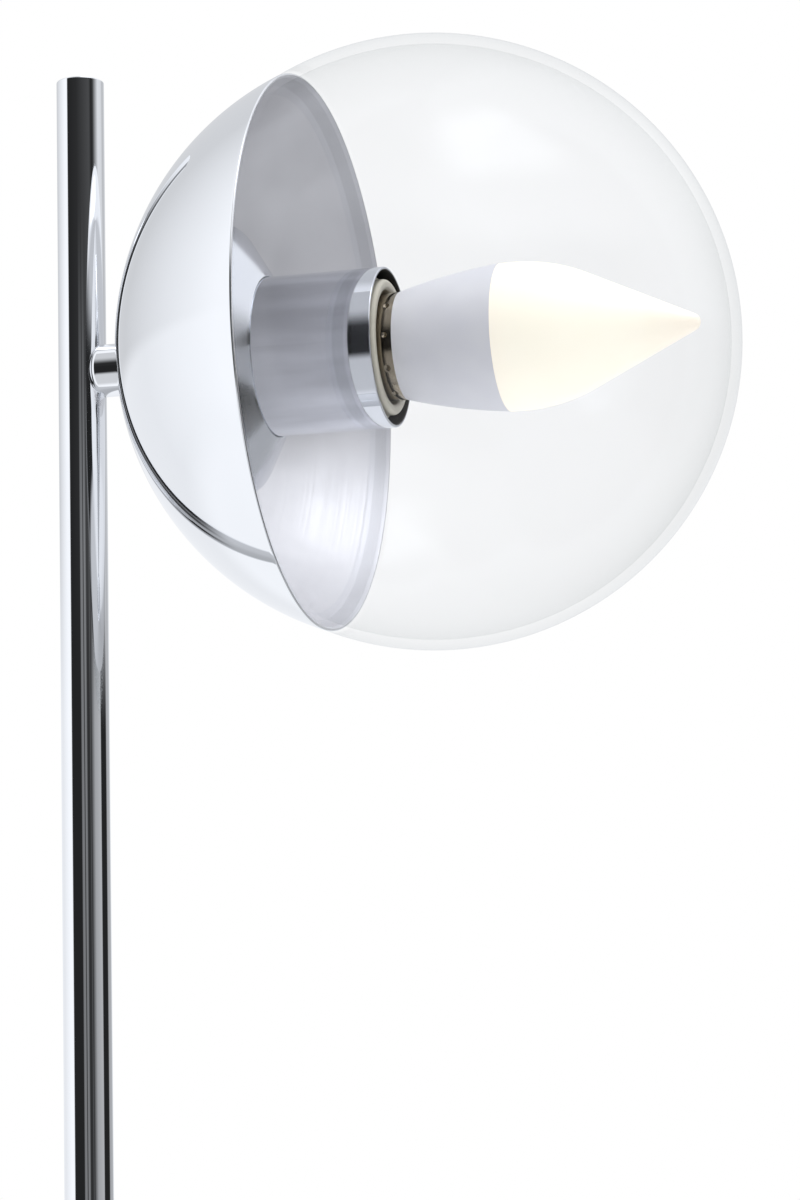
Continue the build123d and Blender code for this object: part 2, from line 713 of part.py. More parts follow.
# Holder terminal screws: the slotted cheese heads that sit on the clamp blocks
terminal_screw_x = terminal_front - terminal_screw_setback
terminal_top = Plane.XY.offset(head_height + terminal_height / 2)
with BuildPart(terminal_top) as holder_terminal_screws:
    with Locations((terminal_screw_x, terminal_offset), (terminal_screw_x, -terminal_offset)):
        Cylinder(terminal_screw_head_radius, terminal_screw_head_height, align=rising)
        with Locations((0, 0, terminal_screw_head_height)):
            Box(
                2 * terminal_screw_head_radius,
                screw_slot_width,
                2 * screw_slot_depth,
                mode=Mode.SUBTRACT,
            )
holder_terminal_screws.part.label = "holder_terminal_screws"
export_step(holder_terminal_screws.part, "parts/holder_terminal_screws.step")

# Bulb foot: the round solder contact at the very end of the bulb
with BuildPart(across_head(bulb_foot_tip)) as bulb_foot:
    Cylinder(foot_contact_radius, foot_contact_height, align=rising)
    fillet(bulb_foot.edges().group_by(Axis.X)[0], foot_contact_height / 2)
    Cylinder(foot_stem_radius, foot_contact_height + foot_stem_length, align=rising)
bulb_foot.part.label = "bulb_foot"
export_step(bulb_foot.part, "parts/bulb_foot.step")

# Bulb insulator: the dark glass cone between foot contact and cap
insulator_back = bulb_foot_tip + foot_contact_height + turning_gap
insulator_front = insulator_back + insulator_height
with BuildPart() as bulb_insulator:
    with BuildSketch(head_profile):
        Polygon(
            (insulator_back, foot_stem_radius + turning_gap),
            (insulator_back, insulator_tip_radius),
            (insulator_front, insulator_radius),
            (insulator_front + cap_wall, insulator_radius),
            (insulator_front + cap_wall, foot_stem_radius + turning_gap),
            align=None,
        )
    revolve(axis=head_axis)
bulb_insulator.part.label = "bulb_insulator"
export_step(bulb_insulator.part, "parts/bulb_insulator.step")

# Bulb cap: the nickelled screw shell with its plain skirt, staked to the body by a row of dimples
skirt_back = cap_top - cap_skirt_length
with BuildPart() as bulb_cap:
    with BuildSketch(head_profile):
        Polygon(
            (insulator_front, insulator_radius + press_clearance),
            (insulator_front + cap_wall, cap_core_radius),
            (skirt_back - cap_wall, cap_core_radius),
            (skirt_back, cap_skirt_radius),
            (cap_top, cap_skirt_radius),
            (cap_top, cap_skirt_radius - cap_skirt_wall),
            (skirt_back + cap_wall, cap_skirt_radius - cap_skirt_wall),
            (skirt_back, cap_core_radius - cap_wall),
            (insulator_front + 2 * cap_wall, cap_core_radius - cap_wall),
            (insulator_front + cap_wall, insulator_radius + press_clearance),
            align=None,
        )
    revolve(axis=head_axis)
    with BuildLine() as cap_path:
        Helix(
            thread_pitch,
            cap_ridge_turns * thread_pitch,
            cap_core_radius,
            center=(cap_ridge_start, 0, head_height),
            direction=(1, 0, 0),
        )
    with BuildSketch(Plane(origin=cap_path.line @ 0, z_dir=cap_path.line % 0)):
        Circle(cap_ridge_radius)
    sweep(path=cap_path.line, is_frenet=True)
    with Locations(across_head(insulator_front)):
        Cylinder(
            cap_core_radius - cap_wall,
            skirt_back - insulator_front,
            align=rising,
            mode=Mode.SUBTRACT,
        )
    with Locations(across_head(cap_top - cap_dimple_setback)):
        with PolarLocations(cap_skirt_radius + cap_dimple_radius - cap_dimple_depth, cap_dimple_count):
            Sphere(cap_dimple_radius, mode=Mode.SUBTRACT)
bulb_cap.part.label = "bulb_cap"
export_step(bulb_cap.part, "parts/bulb_cap.step")

# Bulb body: the white plastic flare between cap and diffuser, with a ledge for the lamp plate
neck_outer = cap_skirt_radius - cap_skirt_wall - press_clearance
neck_inner = neck_outer - body_wall
ledge = body_front - led_plate_thickness
flare_middle = ((cap_top + body_front) / 2, (body_neck_radius + bulb_radius) / 2 + body_bulge)
flare_inner = (flare_middle[0], flare_middle[1] - body_wall)
plate_radius = bulb_radius - body_wall
with BuildPart() as bulb_body:
    with BuildSketch(head_profile):
        with BuildLine():
            Polyline(
                (skirt_back + cap_wall, neck_inner),
                (skirt_back + cap_wall, neck_outer),
                (cap_top, neck_outer),
                (cap_top, body_neck_radius),
            )
            ThreePointArc((cap_top, body_neck_radius), flare_middle, (body_front, bulb_radius))
            Polyline(
                (body_front, bulb_radius),
                (body_front, plate_radius),
                (ledge, plate_radius),
                (ledge, plate_radius - body_wall),
            )
            ThreePointArc((ledge, plate_radius - body_wall), flare_inner, (cap_top, neck_inner))
            Line((cap_top, neck_inner), (skirt_back + cap_wall, neck_inner))
        make_face()
    revolve(axis=head_axis)
bulb_body.part.label = "bulb_body"
export_step(bulb_body.part, "parts/bulb_body.step")

# Lamp plate: the aluminium disc that carries the light chips
with BuildPart(across_head(ledge)) as led_plate:
    Cylinder(plate_radius - press_clearance, led_plate_thickness, align=rising)
led_plate.part.label = "led_plate"
export_step(led_plate.part, "parts/led_plate.step")

# Light chips: six small square chips in a ring
with BuildPart(across_head(body_front)) as led_chips:
    with PolarLocations(led_chip_ring_radius, led_chip_count):
        Box(led_chip_size, led_chip_size, led_chip_height, align=rising)
led_chips.part.label = "led_chips"
export_step(led_chips.part, "parts/led_chips.step")

# Driver board: the narrow circuit board that stands behind the lamp plate
with BuildPart(across_head(ledge - driver_length)) as bulb_driver:
    Box(driver_width, driver_thickness, driver_length, align=rising)
bulb_driver.part.label = "bulb_driver"
export_step(bulb_driver.part, "parts/bulb_driver.step")

# Bulb diffuser: the opal candle dome, a belly that runs into a straight taper and a small round tip
belly_start = body_front + diffuser_shoulder
tip_centre = bulb_tip - diffuser_tip_radius
diffuser_curve_radius = diffuser_curve_share * (bulb_tip - body_front)
taper_rise = diffuser_curve_radius - bulb_radius
taper_run = tip_centre - belly_start
taper_angle = degrees(
    atan2(taper_run, taper_rise)
    - acos((diffuser_curve_radius - diffuser_tip_radius) / hypot(taper_run, taper_rise))
)
with BuildPart() as bulb_diffuser:
    with BuildSketch(head_profile):
        with BuildLine():
            Line((body_front, 0), (body_front, bulb_radius))
            Line((body_front, bulb_radius), (belly_start, bulb_radius))
            belly = JernArc((belly_start, bulb_radius), (1, 0), diffuser_curve_radius, -taper_angle)
            tip = CenterArc((tip_centre, 0), diffuser_tip_radius, 0, 90 - taper_angle)
            Line(belly @ 1, tip @ 1)
            Line(tip @ 0, (body_front, 0))
        make_face()
    revolve(axis=head_axis)
    offset(amount=-diffuser_wall, openings=bulb_diffuser.faces().sort_by(Axis.X)[0])
bulb_diffuser.part.label = "bulb_diffuser"
export_step(bulb_diffuser.part, "parts/bulb_diffuser.step")

# Inner wires: live and neutral run from the block up the pole and through the nipple to the lampholder
block_front = block_length / 2 - block_distance
tag_level = tag_bottom - wire_radius - press_clearance
supply_routes = {}
for wire_name, side in (("live_wire", 1), ("neutral_wire", -1)):
    supply_routes[wire_name] = [
        (block_front - wire_entry, side * block_pitch, block_wire_height),
        (block_front + wire_entry, side * block_pitch, block_wire_height),
        (0, side * wire_spread, block_wire_height),
        (0, side * wire_spread, head_height),
        (holder_back + wire_radius, side * wire_spread, head_height),
        (terminal_back - wire_lead, side * terminal_offset, head_height),
        (terminal_back + wire_entry - slip_clearance, side * terminal_offset, head_height),
    ]
supply_routes["earth_wire"] = [
    (block_front - wire_entry, 0, block_wire_height),
    (block_front + wire_entry, 0, block_wire_height),
    (-earth_tag_tail - wire_lead, 0, tag_level),
    (-foot_washer_radius - wire_radius, 0, tag_level),
]
for wire_name, route in supply_routes.items():
    with BuildPart() as wire:
        with BuildLine() as wire_path:
            FilletPolyline(*route, radius=wire_bend_radius)
        with BuildSketch(Plane(origin=wire_path.line @ 0, z_dir=wire_path.line % 0)):
            Circle(wire_radius)
        sweep(path=wire_path.line)
    wire.part.label = wire_name
    export_step(wire.part, f"parts/{wire_name}.step")
    wire_length = sum(edge.length for edge in wire_path.edges())
    volume_ratio = wire.part.volume / (pi * wire_radius**2 * wire_length)
    print(wire_name, "length", round(wire_length, 1), "volume ratio", round(volume_ratio, 4))
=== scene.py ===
# %% [markdown]
# # A chrome table lamp with a clear glass globe
# The lamp is one slim chrome pole with a ball on a short side stub. The back of the ball is a spun metal
# cup, the front is clear glass, and a lit candle bulb stands on the axis of both.
# Each cell below makes a few pieces or finishes. The solid model gives the places and main sizes in metres,
# so nothing here is moved to fit: a piece reads the box of the solid that it stands for.

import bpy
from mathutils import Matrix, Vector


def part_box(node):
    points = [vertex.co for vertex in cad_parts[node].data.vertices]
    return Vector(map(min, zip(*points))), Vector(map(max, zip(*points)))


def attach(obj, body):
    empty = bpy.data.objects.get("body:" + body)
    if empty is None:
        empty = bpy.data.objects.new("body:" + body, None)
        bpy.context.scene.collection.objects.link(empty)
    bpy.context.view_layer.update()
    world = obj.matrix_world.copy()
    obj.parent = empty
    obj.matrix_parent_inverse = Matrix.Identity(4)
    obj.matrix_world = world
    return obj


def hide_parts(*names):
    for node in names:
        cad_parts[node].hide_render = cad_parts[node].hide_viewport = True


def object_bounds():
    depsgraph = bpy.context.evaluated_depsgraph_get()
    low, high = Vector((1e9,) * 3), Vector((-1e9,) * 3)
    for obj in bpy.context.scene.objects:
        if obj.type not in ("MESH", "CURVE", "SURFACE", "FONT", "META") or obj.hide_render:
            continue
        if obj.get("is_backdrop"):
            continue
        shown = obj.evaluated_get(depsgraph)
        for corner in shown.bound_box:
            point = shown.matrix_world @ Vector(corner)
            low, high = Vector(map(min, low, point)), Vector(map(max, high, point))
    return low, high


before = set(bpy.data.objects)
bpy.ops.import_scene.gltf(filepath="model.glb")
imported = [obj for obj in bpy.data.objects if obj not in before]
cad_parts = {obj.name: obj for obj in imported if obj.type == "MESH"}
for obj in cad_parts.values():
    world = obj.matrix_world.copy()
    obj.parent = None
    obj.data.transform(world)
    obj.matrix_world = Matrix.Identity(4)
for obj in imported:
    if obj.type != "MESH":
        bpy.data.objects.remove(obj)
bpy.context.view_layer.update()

# %% Tools and main places
import math

import bmesh
import bpy
from mathutils import Matrix, Vector

MM = 0.001
globe_low, globe_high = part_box("glass_globe")
cup_low, cup_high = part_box("reflector_cup")
pole_low, pole_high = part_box("pole_tube")
head_height = (globe_low.z + globe_high.z) / 2
ball_radius = (globe_high.z - globe_low.z) / 2
ball_centre = globe_high.x - ball_radius
pole_radius = pole_high.x
print("ball radius", round(ball_radius / MM, 2), "mm, centre", round(ball_centre / MM, 2), "mm from the pole")

# %% [markdown]
# ## Turned pieces
# Nearly everything on this lamp is turned, spun or drawn round an axis: sleeve, rings, pole, bulb. A learner
# could use the Screw modifier, but an outline of points spun in code is easy to read beside a drawing. The
# outline is a closed loop of (distance along the axis, radius), and a corner can carry a rounding, because
# the thin bright line on a rounded metal edge is what makes it look like metal.

# %% Outlines and the lathe
head_axis = Matrix.Translation((0, 0, head_height)) @ Matrix.Rotation(math.pi / 2, 4, "Y")
pole_axis = Matrix.Identity(4)
support_share = 0.1
seam_distance = 1e-7
sharp_angle = math.radians(32)
fine_steps = 256


def eased(corners, steps=6):
    """Outline with rounded corners, from (along, radius, rounding) corners of a closed loop.

    A point on the straight beside each rounding keeps the shading of the long face flat.
    """
    outline = []
    for index, (along, radius, rounding) in enumerate(corners):
        corner = Vector((along, radius))
        if rounding == 0:
            outline.append(corner)
            continue
        back = (Vector(corners[index - 1][:2]) - corner).normalized()
        ahead = (Vector(corners[(index + 1) % len(corners)][:2]) - corner).normalized()
        half_angle = back.angle(ahead) / 2
        centre = corner + (back + ahead).normalized() * rounding / math.sin(half_angle)
        reach = rounding / math.tan(half_angle)
        support = reach + support_share * rounding
        first = (corner + back * reach - centre).normalized()
        last = (corner + ahead * reach - centre).normalized()
        outline.append(corner + back * support)
        outline += [centre + first.slerp(last, step / steps) * rounding for step in range(steps + 1)]
        outline.append(corner + ahead * support)
    return outline


def finish_mesh(name, work, material):
    """Closes the seams of a bmesh, turns its faces outwards and makes it a smooth object."""
    bmesh.ops.remove_doubles(work, verts=work.verts, dist=seam_distance)
    bmesh.ops.recalc_face_normals(work, faces=work.faces)
    mesh = bpy.data.meshes.new(name)
    work.to_mesh(mesh)
    work.free()
    mesh.shade_smooth()
    mesh.set_sharp_from_angle(angle=sharp_angle)
    mesh.materials.append(material)
    piece = bpy.data.objects.new(name, mesh)
    bpy.context.scene.collection.objects.link(piece)
    return piece


def turned(name, outline, axis, material, steps=224):
    """Spins a closed outline of (along, radius) points round an axis."""
    work = bmesh.new()
    rings = []
    for step in range(steps):
        turn = 2 * math.pi * step / steps
        rings.append([
            work.verts.new(axis @ Vector((radius * math.cos(turn), radius * math.sin(turn), along)))
            for along, radius in outline
        ])
    for ring, following in zip(rings, rings[1:] + rings[:1]):
        for near in range(len(outline)):
            far = (near + 1) % len(outline)
            work.faces.new((ring[near], ring[far], following[far], following[near]))
    return finish_mesh(name, work, material)


def place(piece, body, slot, *nodes):
    """Says which body a piece rides on and which solids it stands for; the slot is not used."""
    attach(piece, body)
    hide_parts(*nodes)
    triangles = sum(len(face.vertices) - 2 for face in piece.data.polygons)
    print(piece.name, "on", body, "stands for", ", ".join(nodes), "with", triangles, "triangles")


print("lathe ready")

# %% [markdown]
# ## Writing node trees as arithmetic
# Finishes and Geometry Nodes both need a lot of small Math nodes. Wiring them one by one hides the idea, so
# this class wraps a socket: adding or multiplying two of them adds the Math node, and `node` adds any other
# kind, its settings first and then its sockets. Colours go through Mix nodes, because Math turns them grey.

# %% A socket that can be calculated with
class Socket:
    """An output socket of a node tree, or the tree alone where nothing is wired yet."""

    def __init__(self, tree, source=None):
        self.tree = tree
        self.source = source

    def node(self, kind, settings=None, sockets=None, output=0):
        made = self.tree.nodes.new(kind)
        for name, setting in (settings or {}).items():
            setattr(made, name, setting)
        for name, value in (sockets or {}).items():
            if isinstance(value, Socket):
                self.tree.links.new(value.source, made.inputs[name])
            else:
                made.inputs[name].default_value = value
        return Socket(self.tree, made.outputs[output])

    def into(self, node, name):
        self.tree.links.new(self.source, node.inputs[name])

    def maths(self, operation, first, second=0.0):
        return self.node("ShaderNodeMath", {"operation": operation}, {0: first, 1: second})

    def __add__(self, other):
        return self.maths("ADD", self, other)

    def __sub__(self, other):
        return self.maths("SUBTRACT", self, other)

    def __rsub__(self, other):
        return self.maths("SUBTRACT", other, self)

    def __mul__(self, other):
        return self.maths("MULTIPLY", self, other)

    def __truediv__(self, other):
        return self.maths("DIVIDE", self, other)

    def __pow__(self, other):
        return self.maths("POWER", self, other)

    __radd__ = __add__
    __rmul__ = __mul__

    def step(self, start, end):
        """Soft step from 0 at start to 1 at end."""
        settings = {"interpolation_type": "SMOOTHSTEP"}
        return self.node("ShaderNodeMapRange", settings, {"Value": self, "From Min": start, "From Max": end})

    def colours(self, low, high):
        """Colour between low, where this value is 0, and high, where it is 1."""
        return self.node("ShaderNodeMix", {"data_type": "RGBA"}, {0: self, 6: low, 7: high}, output=2)

    def parts(self):
        """The x, y and z of a vector."""
        split = self.node("ShaderNodeSeparateXYZ", sockets={0: self}).source.node
        return [Socket(self.tree, output) for output in split.outputs]


print("Socket ready")

# %% [markdown]
# ## Finishes: polished chrome
# Chrome is a mirror first, but a perfect mirror looks drawn. Real plated tube has faint lines from drawing and
# polishing, and a breath of haze where it has been handled. Both are small changes of roughness, made with
# noise on Object coordinates and stretched along the direction of the work.

# %% Metal finishes
def new_finish(name):
    """A material, its Principled shader and the Object coordinates to build on."""
    material = bpy.data.materials.new(name)
    material.use_nodes = True
    surface = material.node_tree.nodes["Principled BSDF"]
    coordinates = Socket(material.node_tree).node("ShaderNodeTexCoord", output="Object")
    return material, surface, coordinates


def noise(coordinates, grain, detail=3.0, stretch=(1, 1, 1)):
    """Noise from 0 to 1 with grains of this size in metres, stretched by a factor on each axis."""
    scale = [1 / (grain * factor) for factor in stretch]
    scaled = coordinates.node("ShaderNodeMapping", sockets={"Vector": coordinates, "Scale": scale})
    return scaled.node("ShaderNodeTexNoise", sockets={"Vector": scaled, "Scale": 1.0, "Detail": detail})


def bumped(surface, height, distance):
    """Feeds a height from 0 to 1 to the shader as a bump of this depth in metres."""
    sockets = {"Height": height, "Distance": distance}
    height.node("ShaderNodeBump", sockets=sockets, output="Normal").into(surface, "Normal")


def metal(name, colour, dull, roughness, haze, work_grain, stretch):
    """Polished or plated metal: colour dulled in patches, roughness with lines along the work."""
    material, surface, coordinates = new_finish(name)
    patches = noise(coordinates, 25 * MM)
    lines = noise(coordinates, work_grain, stretch=stretch)
    patches.colours(dull, colour).into(surface, "Base Color")
    (roughness + haze * patches.step(0.5, 0.8) + haze * lines.step(0.55, 0.75)).into(surface, "Roughness")
    surface.inputs["Metallic"].default_value = 1.0
    return material


chrome = (0.87, 0.88, 0.90, 1)
chrome_dull = (0.83, 0.84, 0.86, 1)
pole_chrome = metal("pole_chrome", chrome, chrome_dull, 0.025, 0.02, 0.4 * MM, (1, 1, 200))
base_chrome = metal("base_chrome", chrome, chrome_dull, 0.03, 0.02, 0.6 * MM, (30, 30, 1))
plated_steel = metal(
    "plated_steel", (0.62, 0.62, 0.60, 1), (0.50, 0.50, 0.47, 1), 0.28, 0.08, 0.5 * MM, (1, 6, 6)
)
terminal_brass = metal(
    "terminal_brass", (0.80, 0.62, 0.30, 1), (0.66, 0.47, 0.20, 1), 0.25, 0.08, 0.5 * MM, (1, 6, 6)
)
# The cap is a warm brown metal, much darker than bare nickel: the warm tone is its own, the darkness is painted
# shade for its recess between ring and body.
cap_nickel = metal(
    "cap_nickel", (0.38, 0.33, 0.26, 1), (0.20, 0.165, 0.12, 1), 0.14, 0.10, 0.3 * MM, (1, 20, 20)
)
plate_aluminium = metal(
    "plate_aluminium", (0.80, 0.81, 0.82, 1), (0.70, 0.71, 0.72, 1), 0.35, 0.1, 0.3 * MM, (1, 1, 30)
)
foot_solder = metal(
    "foot_solder", (0.66, 0.66, 0.64, 1), (0.48, 0.48, 0.47, 1), 0.35, 0.12, 1.5 * MM, (1, 1, 1)
)
print("metals ready")

# %% [markdown]
# ## Finish: the spun cup
# The cup is polished outside, but inside it keeps the fine rings of the spinning tool and a satin surface that
# softens what it mirrors. One material does both: the distance from the middle of the ball tells the two
# walls apart, and the rings follow the distance along the axis. The soft fans and patches of sheen on spun
# satin
# are painted sheen: noise on the turn round the axis and noise patches paint them into the colour of the
# inside.
# The drum inside is spun in the same way. The drawn sleeve on the same axis is a mirror outside, and painted
# near black and dull inside, as painted shade for the dark gap round the lampholder ring.

# %% Cup finish
cup_wall = 0.8 * MM
cup_seat_radius = 11.0 * MM
cup_share = 0.976
cup_radius = cup_share * ball_radius
cup_centre = cup_low.x + math.sqrt(cup_radius**2 - cup_seat_radius**2)


def distance_from(coordinates, centre):
    """Distance of the surface from a point on the head axis."""
    ends = {0: coordinates, 1: (centre, 0, head_height)}
    return coordinates.node("ShaderNodeVectorMath", {"operation": "DISTANCE"}, ends, output="Value")


cup_chrome, surface, coordinates = new_finish("cup_chrome")
from_centre = distance_from(coordinates, cup_centre)
outside = from_centre.step(cup_radius - 0.7 * cup_wall, cup_radius - 0.3 * cup_wall)
rings = noise(coordinates, 0.5 * MM, stretch=(1, 1000, 1000))
patches = noise(coordinates, 30 * MM)
_, across, up = coordinates.parts()
turn = across.maths("ARCTAN2", up - head_height, across)
round_axis = {"W": turn * 1.3, "Scale": 1.0, "Detail": 0.0}
painted_fans = turn.node("ShaderNodeTexNoise", {"noise_dimensions": "1D"}, round_axis)
# Painted sheen: fans round the axis and noise patches make the inside lighter and darker, in place of satin
# highlights.
painted_sheen = 0.5 * painted_fans.step(0.35, 0.65) + 0.5 * patches.step(0.35, 0.65)
spun_with_painted_sheen = painted_sheen.colours((0.75, 0.74, 0.76, 1), (0.95, 0.94, 0.96, 1))
outside.colours(spun_with_painted_sheen, patches.colours(chrome_dull, chrome)).into(surface, "Base Color")
mirror = 0.025 + 0.02 * patches.step(0.5, 0.8)
satin = 0.43 + 0.06 * rings.step(0.35, 0.7) + 0.04 * patches
(mirror * outside + satin * (1 - outside)).into(surface, "Roughness")
bumped(surface, rings * (1 - outside), 0.006 * MM)
surface.inputs["Metallic"].default_value = 1.0
print("cup ball radius", round(cup_radius / MM, 2), "mm, centre", round(cup_centre / MM, 2), "mm from the pole")

# %% Sleeve and drum finish
def node_radius(node):
    """Radius about the head axis of a solid that is turned round it."""
    low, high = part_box(node)
    return (high.y - low.y) / 2


sleeve_low, sleeve_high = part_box("holder_sleeve")
sleeve_radius = node_radius("holder_sleeve")
sleeve_chrome, surface, coordinates = new_finish("sleeve_chrome")
_, across, up = coordinates.parts()
from_axis = across.maths("SQRT", across * across + (up - head_height) * (up - head_height))
drum_part = from_axis.step(sleeve_radius + 0.2 * MM, sleeve_radius + 1.5 * MM)
patches = noise(coordinates, 25 * MM)
rings = noise(coordinates, 0.4 * MM, stretch=(1, 40, 40))
# Inside the sleeve the colour is near black and dull: painted shade for the dark gap between the sleeve and the
# ring.
clear_of_painted_shade = from_axis.step(sleeve_radius - 0.6 * MM, sleeve_radius - 0.5 * MM)
blue_chrome = patches.colours((0.70, 0.715, 0.76, 1), (0.75, 0.765, 0.81, 1))
clear_of_painted_shade.colours((0.05, 0.045, 0.04, 1), blue_chrome).into(surface, "Base Color")
(0.03 + 0.02 * rings.step(0.55, 0.75) + 0.16 * drum_part + 0.5 * (1 - clear_of_painted_shade)).into(surface, "Roughness")
surface.inputs["Metallic"].default_value = 1.0
print("sleeve radius", round(sleeve_radius / MM, 2), "mm")

# %% [markdown]
# ## Finishes: plastic, rubber and cast iron
# Moulded pieces are never one flat colour: the melt leaves soft clouds, and the mould leaves a fine grain.
# One function gives both, with its own colours, grain and roughness for each piece.

# %% Moulded finishes
def moulded(name, colour, cloud, roughness, grain, depth):
    """Moulded or cast material: soft clouds of colour and a fine grain."""
    material, surface, coordinates = new_finish(name)
    clouds = noise(coordinates, 9 * MM)
    fine = noise(coordinates, grain, detail=5.0)
    clouds.step(0.3, 0.7).colours(colour, cloud).into(surface, "Base Color")
    (roughness + 0.1 * fine).into(surface, "Roughness")
    bumped(surface, fine, depth)
    return material


holder_cream = moulded(
    "holder_cream", (0.63, 0.60, 0.50, 1), (0.58, 0.55, 0.46, 1), 0.38, 0.4 * MM, 0.01 * MM
)
bulb_white = moulded("bulb_white", (0.80, 0.80, 0.83, 1), (0.76, 0.76, 0.80, 1), 0.34, 0.5 * MM, 0.01 * MM)
pad_rubber = moulded(
    "pad_rubber", (0.030, 0.030, 0.032, 1), (0.045, 0.045, 0.046, 1), 0.75, 0.5 * MM, 0.06 * MM
)
bushing_rubber = moulded(
    "bushing_rubber", (0.022, 0.022, 0.024, 1), (0.034, 0.034, 0.035, 1), 0.5, 0.3 * MM, 0.02 * MM
)
block_plastic = moulded(
    "block_plastic", (0.72, 0.70, 0.62, 1), (0.66, 0.64, 0.56, 1), 0.42, 0.4 * MM, 0.02 * MM
)
cap_insulator = moulded(
    "cap_insulator", (0.016, 0.015, 0.018, 1), (0.03, 0.027, 0.03, 1), 0.12, 0.8 * MM, 0.02 * MM
)
weight_iron = moulded("weight_iron", (0.055, 0.054, 0.053, 1), (0.10, 0.085, 0.07, 1), 0.7, 1.2 * MM, 0.35 * MM)
board_green = moulded("board_green", (0.03, 0.16, 0.06, 1), (0.05, 0.22, 0.09, 1), 0.4, 0.6 * MM, 0.05 * MM)
chip_yellow = moulded("chip_yellow", (0.85, 0.62, 0.10, 1), (0.80, 0.52, 0.06, 1), 0.4, 0.2 * MM, 0.02 * MM)
wire_brown = moulded("wire_brown", (0.17, 0.075, 0.03, 1), (0.13, 0.055, 0.022, 1), 0.4, 0.4 * MM, 0.02 * MM)
wire_blue = moulded("wire_blue", (0.04, 0.13, 0.45, 1), (0.03, 0.10, 0.36, 1), 0.4, 0.4 * MM, 0.02 * MM)
wire_green = moulded("wire_green", (0.10, 0.36, 0.06, 1), (0.55, 0.52, 0.06, 1), 0.4, 0.4 * MM, 0.02 * MM)
print("moulded finishes ready")

# %% [markdown]
# ## Finishes: clear glass and clear rubber
# A full glass shader bends light at both walls of the globe and takes many samples. The wall is thin, so light
# passes almost straight through it. Three shaders are enough: a clear one, a greyer one where the wall is seen
# edge on and the light passes more glass, and a soft mirror that grows towards the edge. Only the outer skin
# mirrors, because the inner one would draw a second outline. The seat band is clear too, with less gloss.

# %% Clear finishes
collar_length = 4.5 * MM
globe_back = globe_low.x + collar_length


def clear(name, edge_on, smooth, clean, thick):
    """See-through material: gloss face on and edge on, roughness of the mirror, and its two tints."""
    material = bpy.data.materials.new(name)
    material.use_nodes = True
    tree = material.node_tree
    tree.nodes.remove(tree.nodes["Principled BSDF"])
    base = Socket(tree)
    coordinates = base.node("ShaderNodeTexCoord", output="Object")
    turned_away = base.node("ShaderNodeLayerWeight", sockets={"Blend": 0.5}, output="Facing")
    skin = distance_from(coordinates, ball_centre).step(ball_radius - 0.6 * MM, ball_radius - 0.3 * MM)
    ahead = coordinates.parts()[0].step(globe_back, globe_back + 1 * MM)
    smears = noise(coordinates, 40 * MM)
    gloss = (0.03 + 0.015 * smears + edge_on * turned_away**5) * skin * ahead
    thin = base.node("ShaderNodeBsdfTransparent", sockets={"Color": clean})
    deep = base.node("ShaderNodeBsdfTransparent", sockets={"Color": thick})
    body = base.node("ShaderNodeMixShader", sockets={0: turned_away**2.5 * ahead, 1: thin, 2: deep})
    mirror = base.node("ShaderNodeBsdfGlossy", sockets={"Color": (0.95, 0.96, 0.97, 1), "Roughness": smooth})
    glass = base.node("ShaderNodeMixShader", sockets={0: gloss, 1: body, 2: mirror})
    glass.into(tree.nodes["Material Output"], "Surface")
    return material


clear_glass = clear("clear_glass", 0.25, 0.12, (0.985, 0.987, 0.99, 1), (0.93, 0.935, 0.935, 1))
seat_rubber = clear("seat_rubber", 0.1, 0.3, (0.97, 0.97, 0.97, 1), (0.94, 0.94, 0.94, 1))
print("glass and clear rubber ready")

# %% [markdown]
# ## Finish: the lit bulb
# The opal dome of the bulb is on. Its light comes evenly through the plastic and turns a little warmer towards
# the tip, and where the dome meets the body.

# %% Lit opal finish
bulb_low, bulb_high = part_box("bulb_diffuser")
opal_diffuser, surface, coordinates = new_finish("opal_diffuser")
along = (coordinates.parts()[0] - bulb_low.x) / (bulb_high.x - bulb_low.x)
clouds = noise(coordinates, 12 * MM)
warm = 0.15 * clouds + along.step(0.55, 1.0) + 0.5 * (1 - along.step(0.0, 0.12))
warm.colours((1.0, 0.95, 0.80, 1), (1.0, 0.87, 0.74, 1)).into(surface, "Emission Color")
surface.inputs["Emission Strength"].default_value = 0.48
clouds.colours((0.74, 0.71, 0.62, 1), (0.70, 0.67, 0.58, 1)).into(surface, "Base Color")
(0.3 + 0.1 * clouds).into(surface, "Roughness")
print("lit opal ready")

# %% [markdown]
# ## The spun cup
# A cup like this is spun from a flat disc over a ball-shaped form, a little tighter than the ball of the
# glass, and its middle is pressed flat to sit on the stub. That is a rule, so Geometry Nodes make it: a grid is
# wrapped round a ball from the edge of the bolt hole to the rim, and anything that would reach behind the seat
# is held at the seat. Solidify then gives the sheet its thickness and Bevel rounds the rim.

# %% The tree of the cup
def new_tree(name, sizes):
    """A Geometry Nodes tree with named size inputs and a finish. Gives the tree and its inputs."""
    tree = bpy.data.node_groups.new(name, "GeometryNodeTree")
    for size in sizes:
        tree.interface.new_socket(size, in_out="INPUT", socket_type="NodeSocketFloat")
    tree.interface.new_socket("Finish", in_out="INPUT", socket_type="NodeSocketMaterial")
    tree.interface.new_socket("Geometry", in_out="OUTPUT", socket_type="NodeSocketGeometry")
    entry = tree.nodes.new("NodeGroupInput")
    return tree, {socket.name: Socket(tree, socket) for socket in entry.outputs if socket.name}


def wrapped_grid(tree, columns, rows):
    """A flat grid, with its share along the rows and its turn round the columns as fields."""
    base = Socket(tree)
    sizes = {"Size X": 1.0, "Size Y": 1.0, "Vertices X": rows, "Vertices Y": columns}
    grid = base.node("GeometryNodeMeshGrid", sockets=sizes)
    x, y, _ = base.node("GeometryNodeInputPosition").parts()
    return grid, x + 0.5, (y + 0.5) * (2 * math.pi)


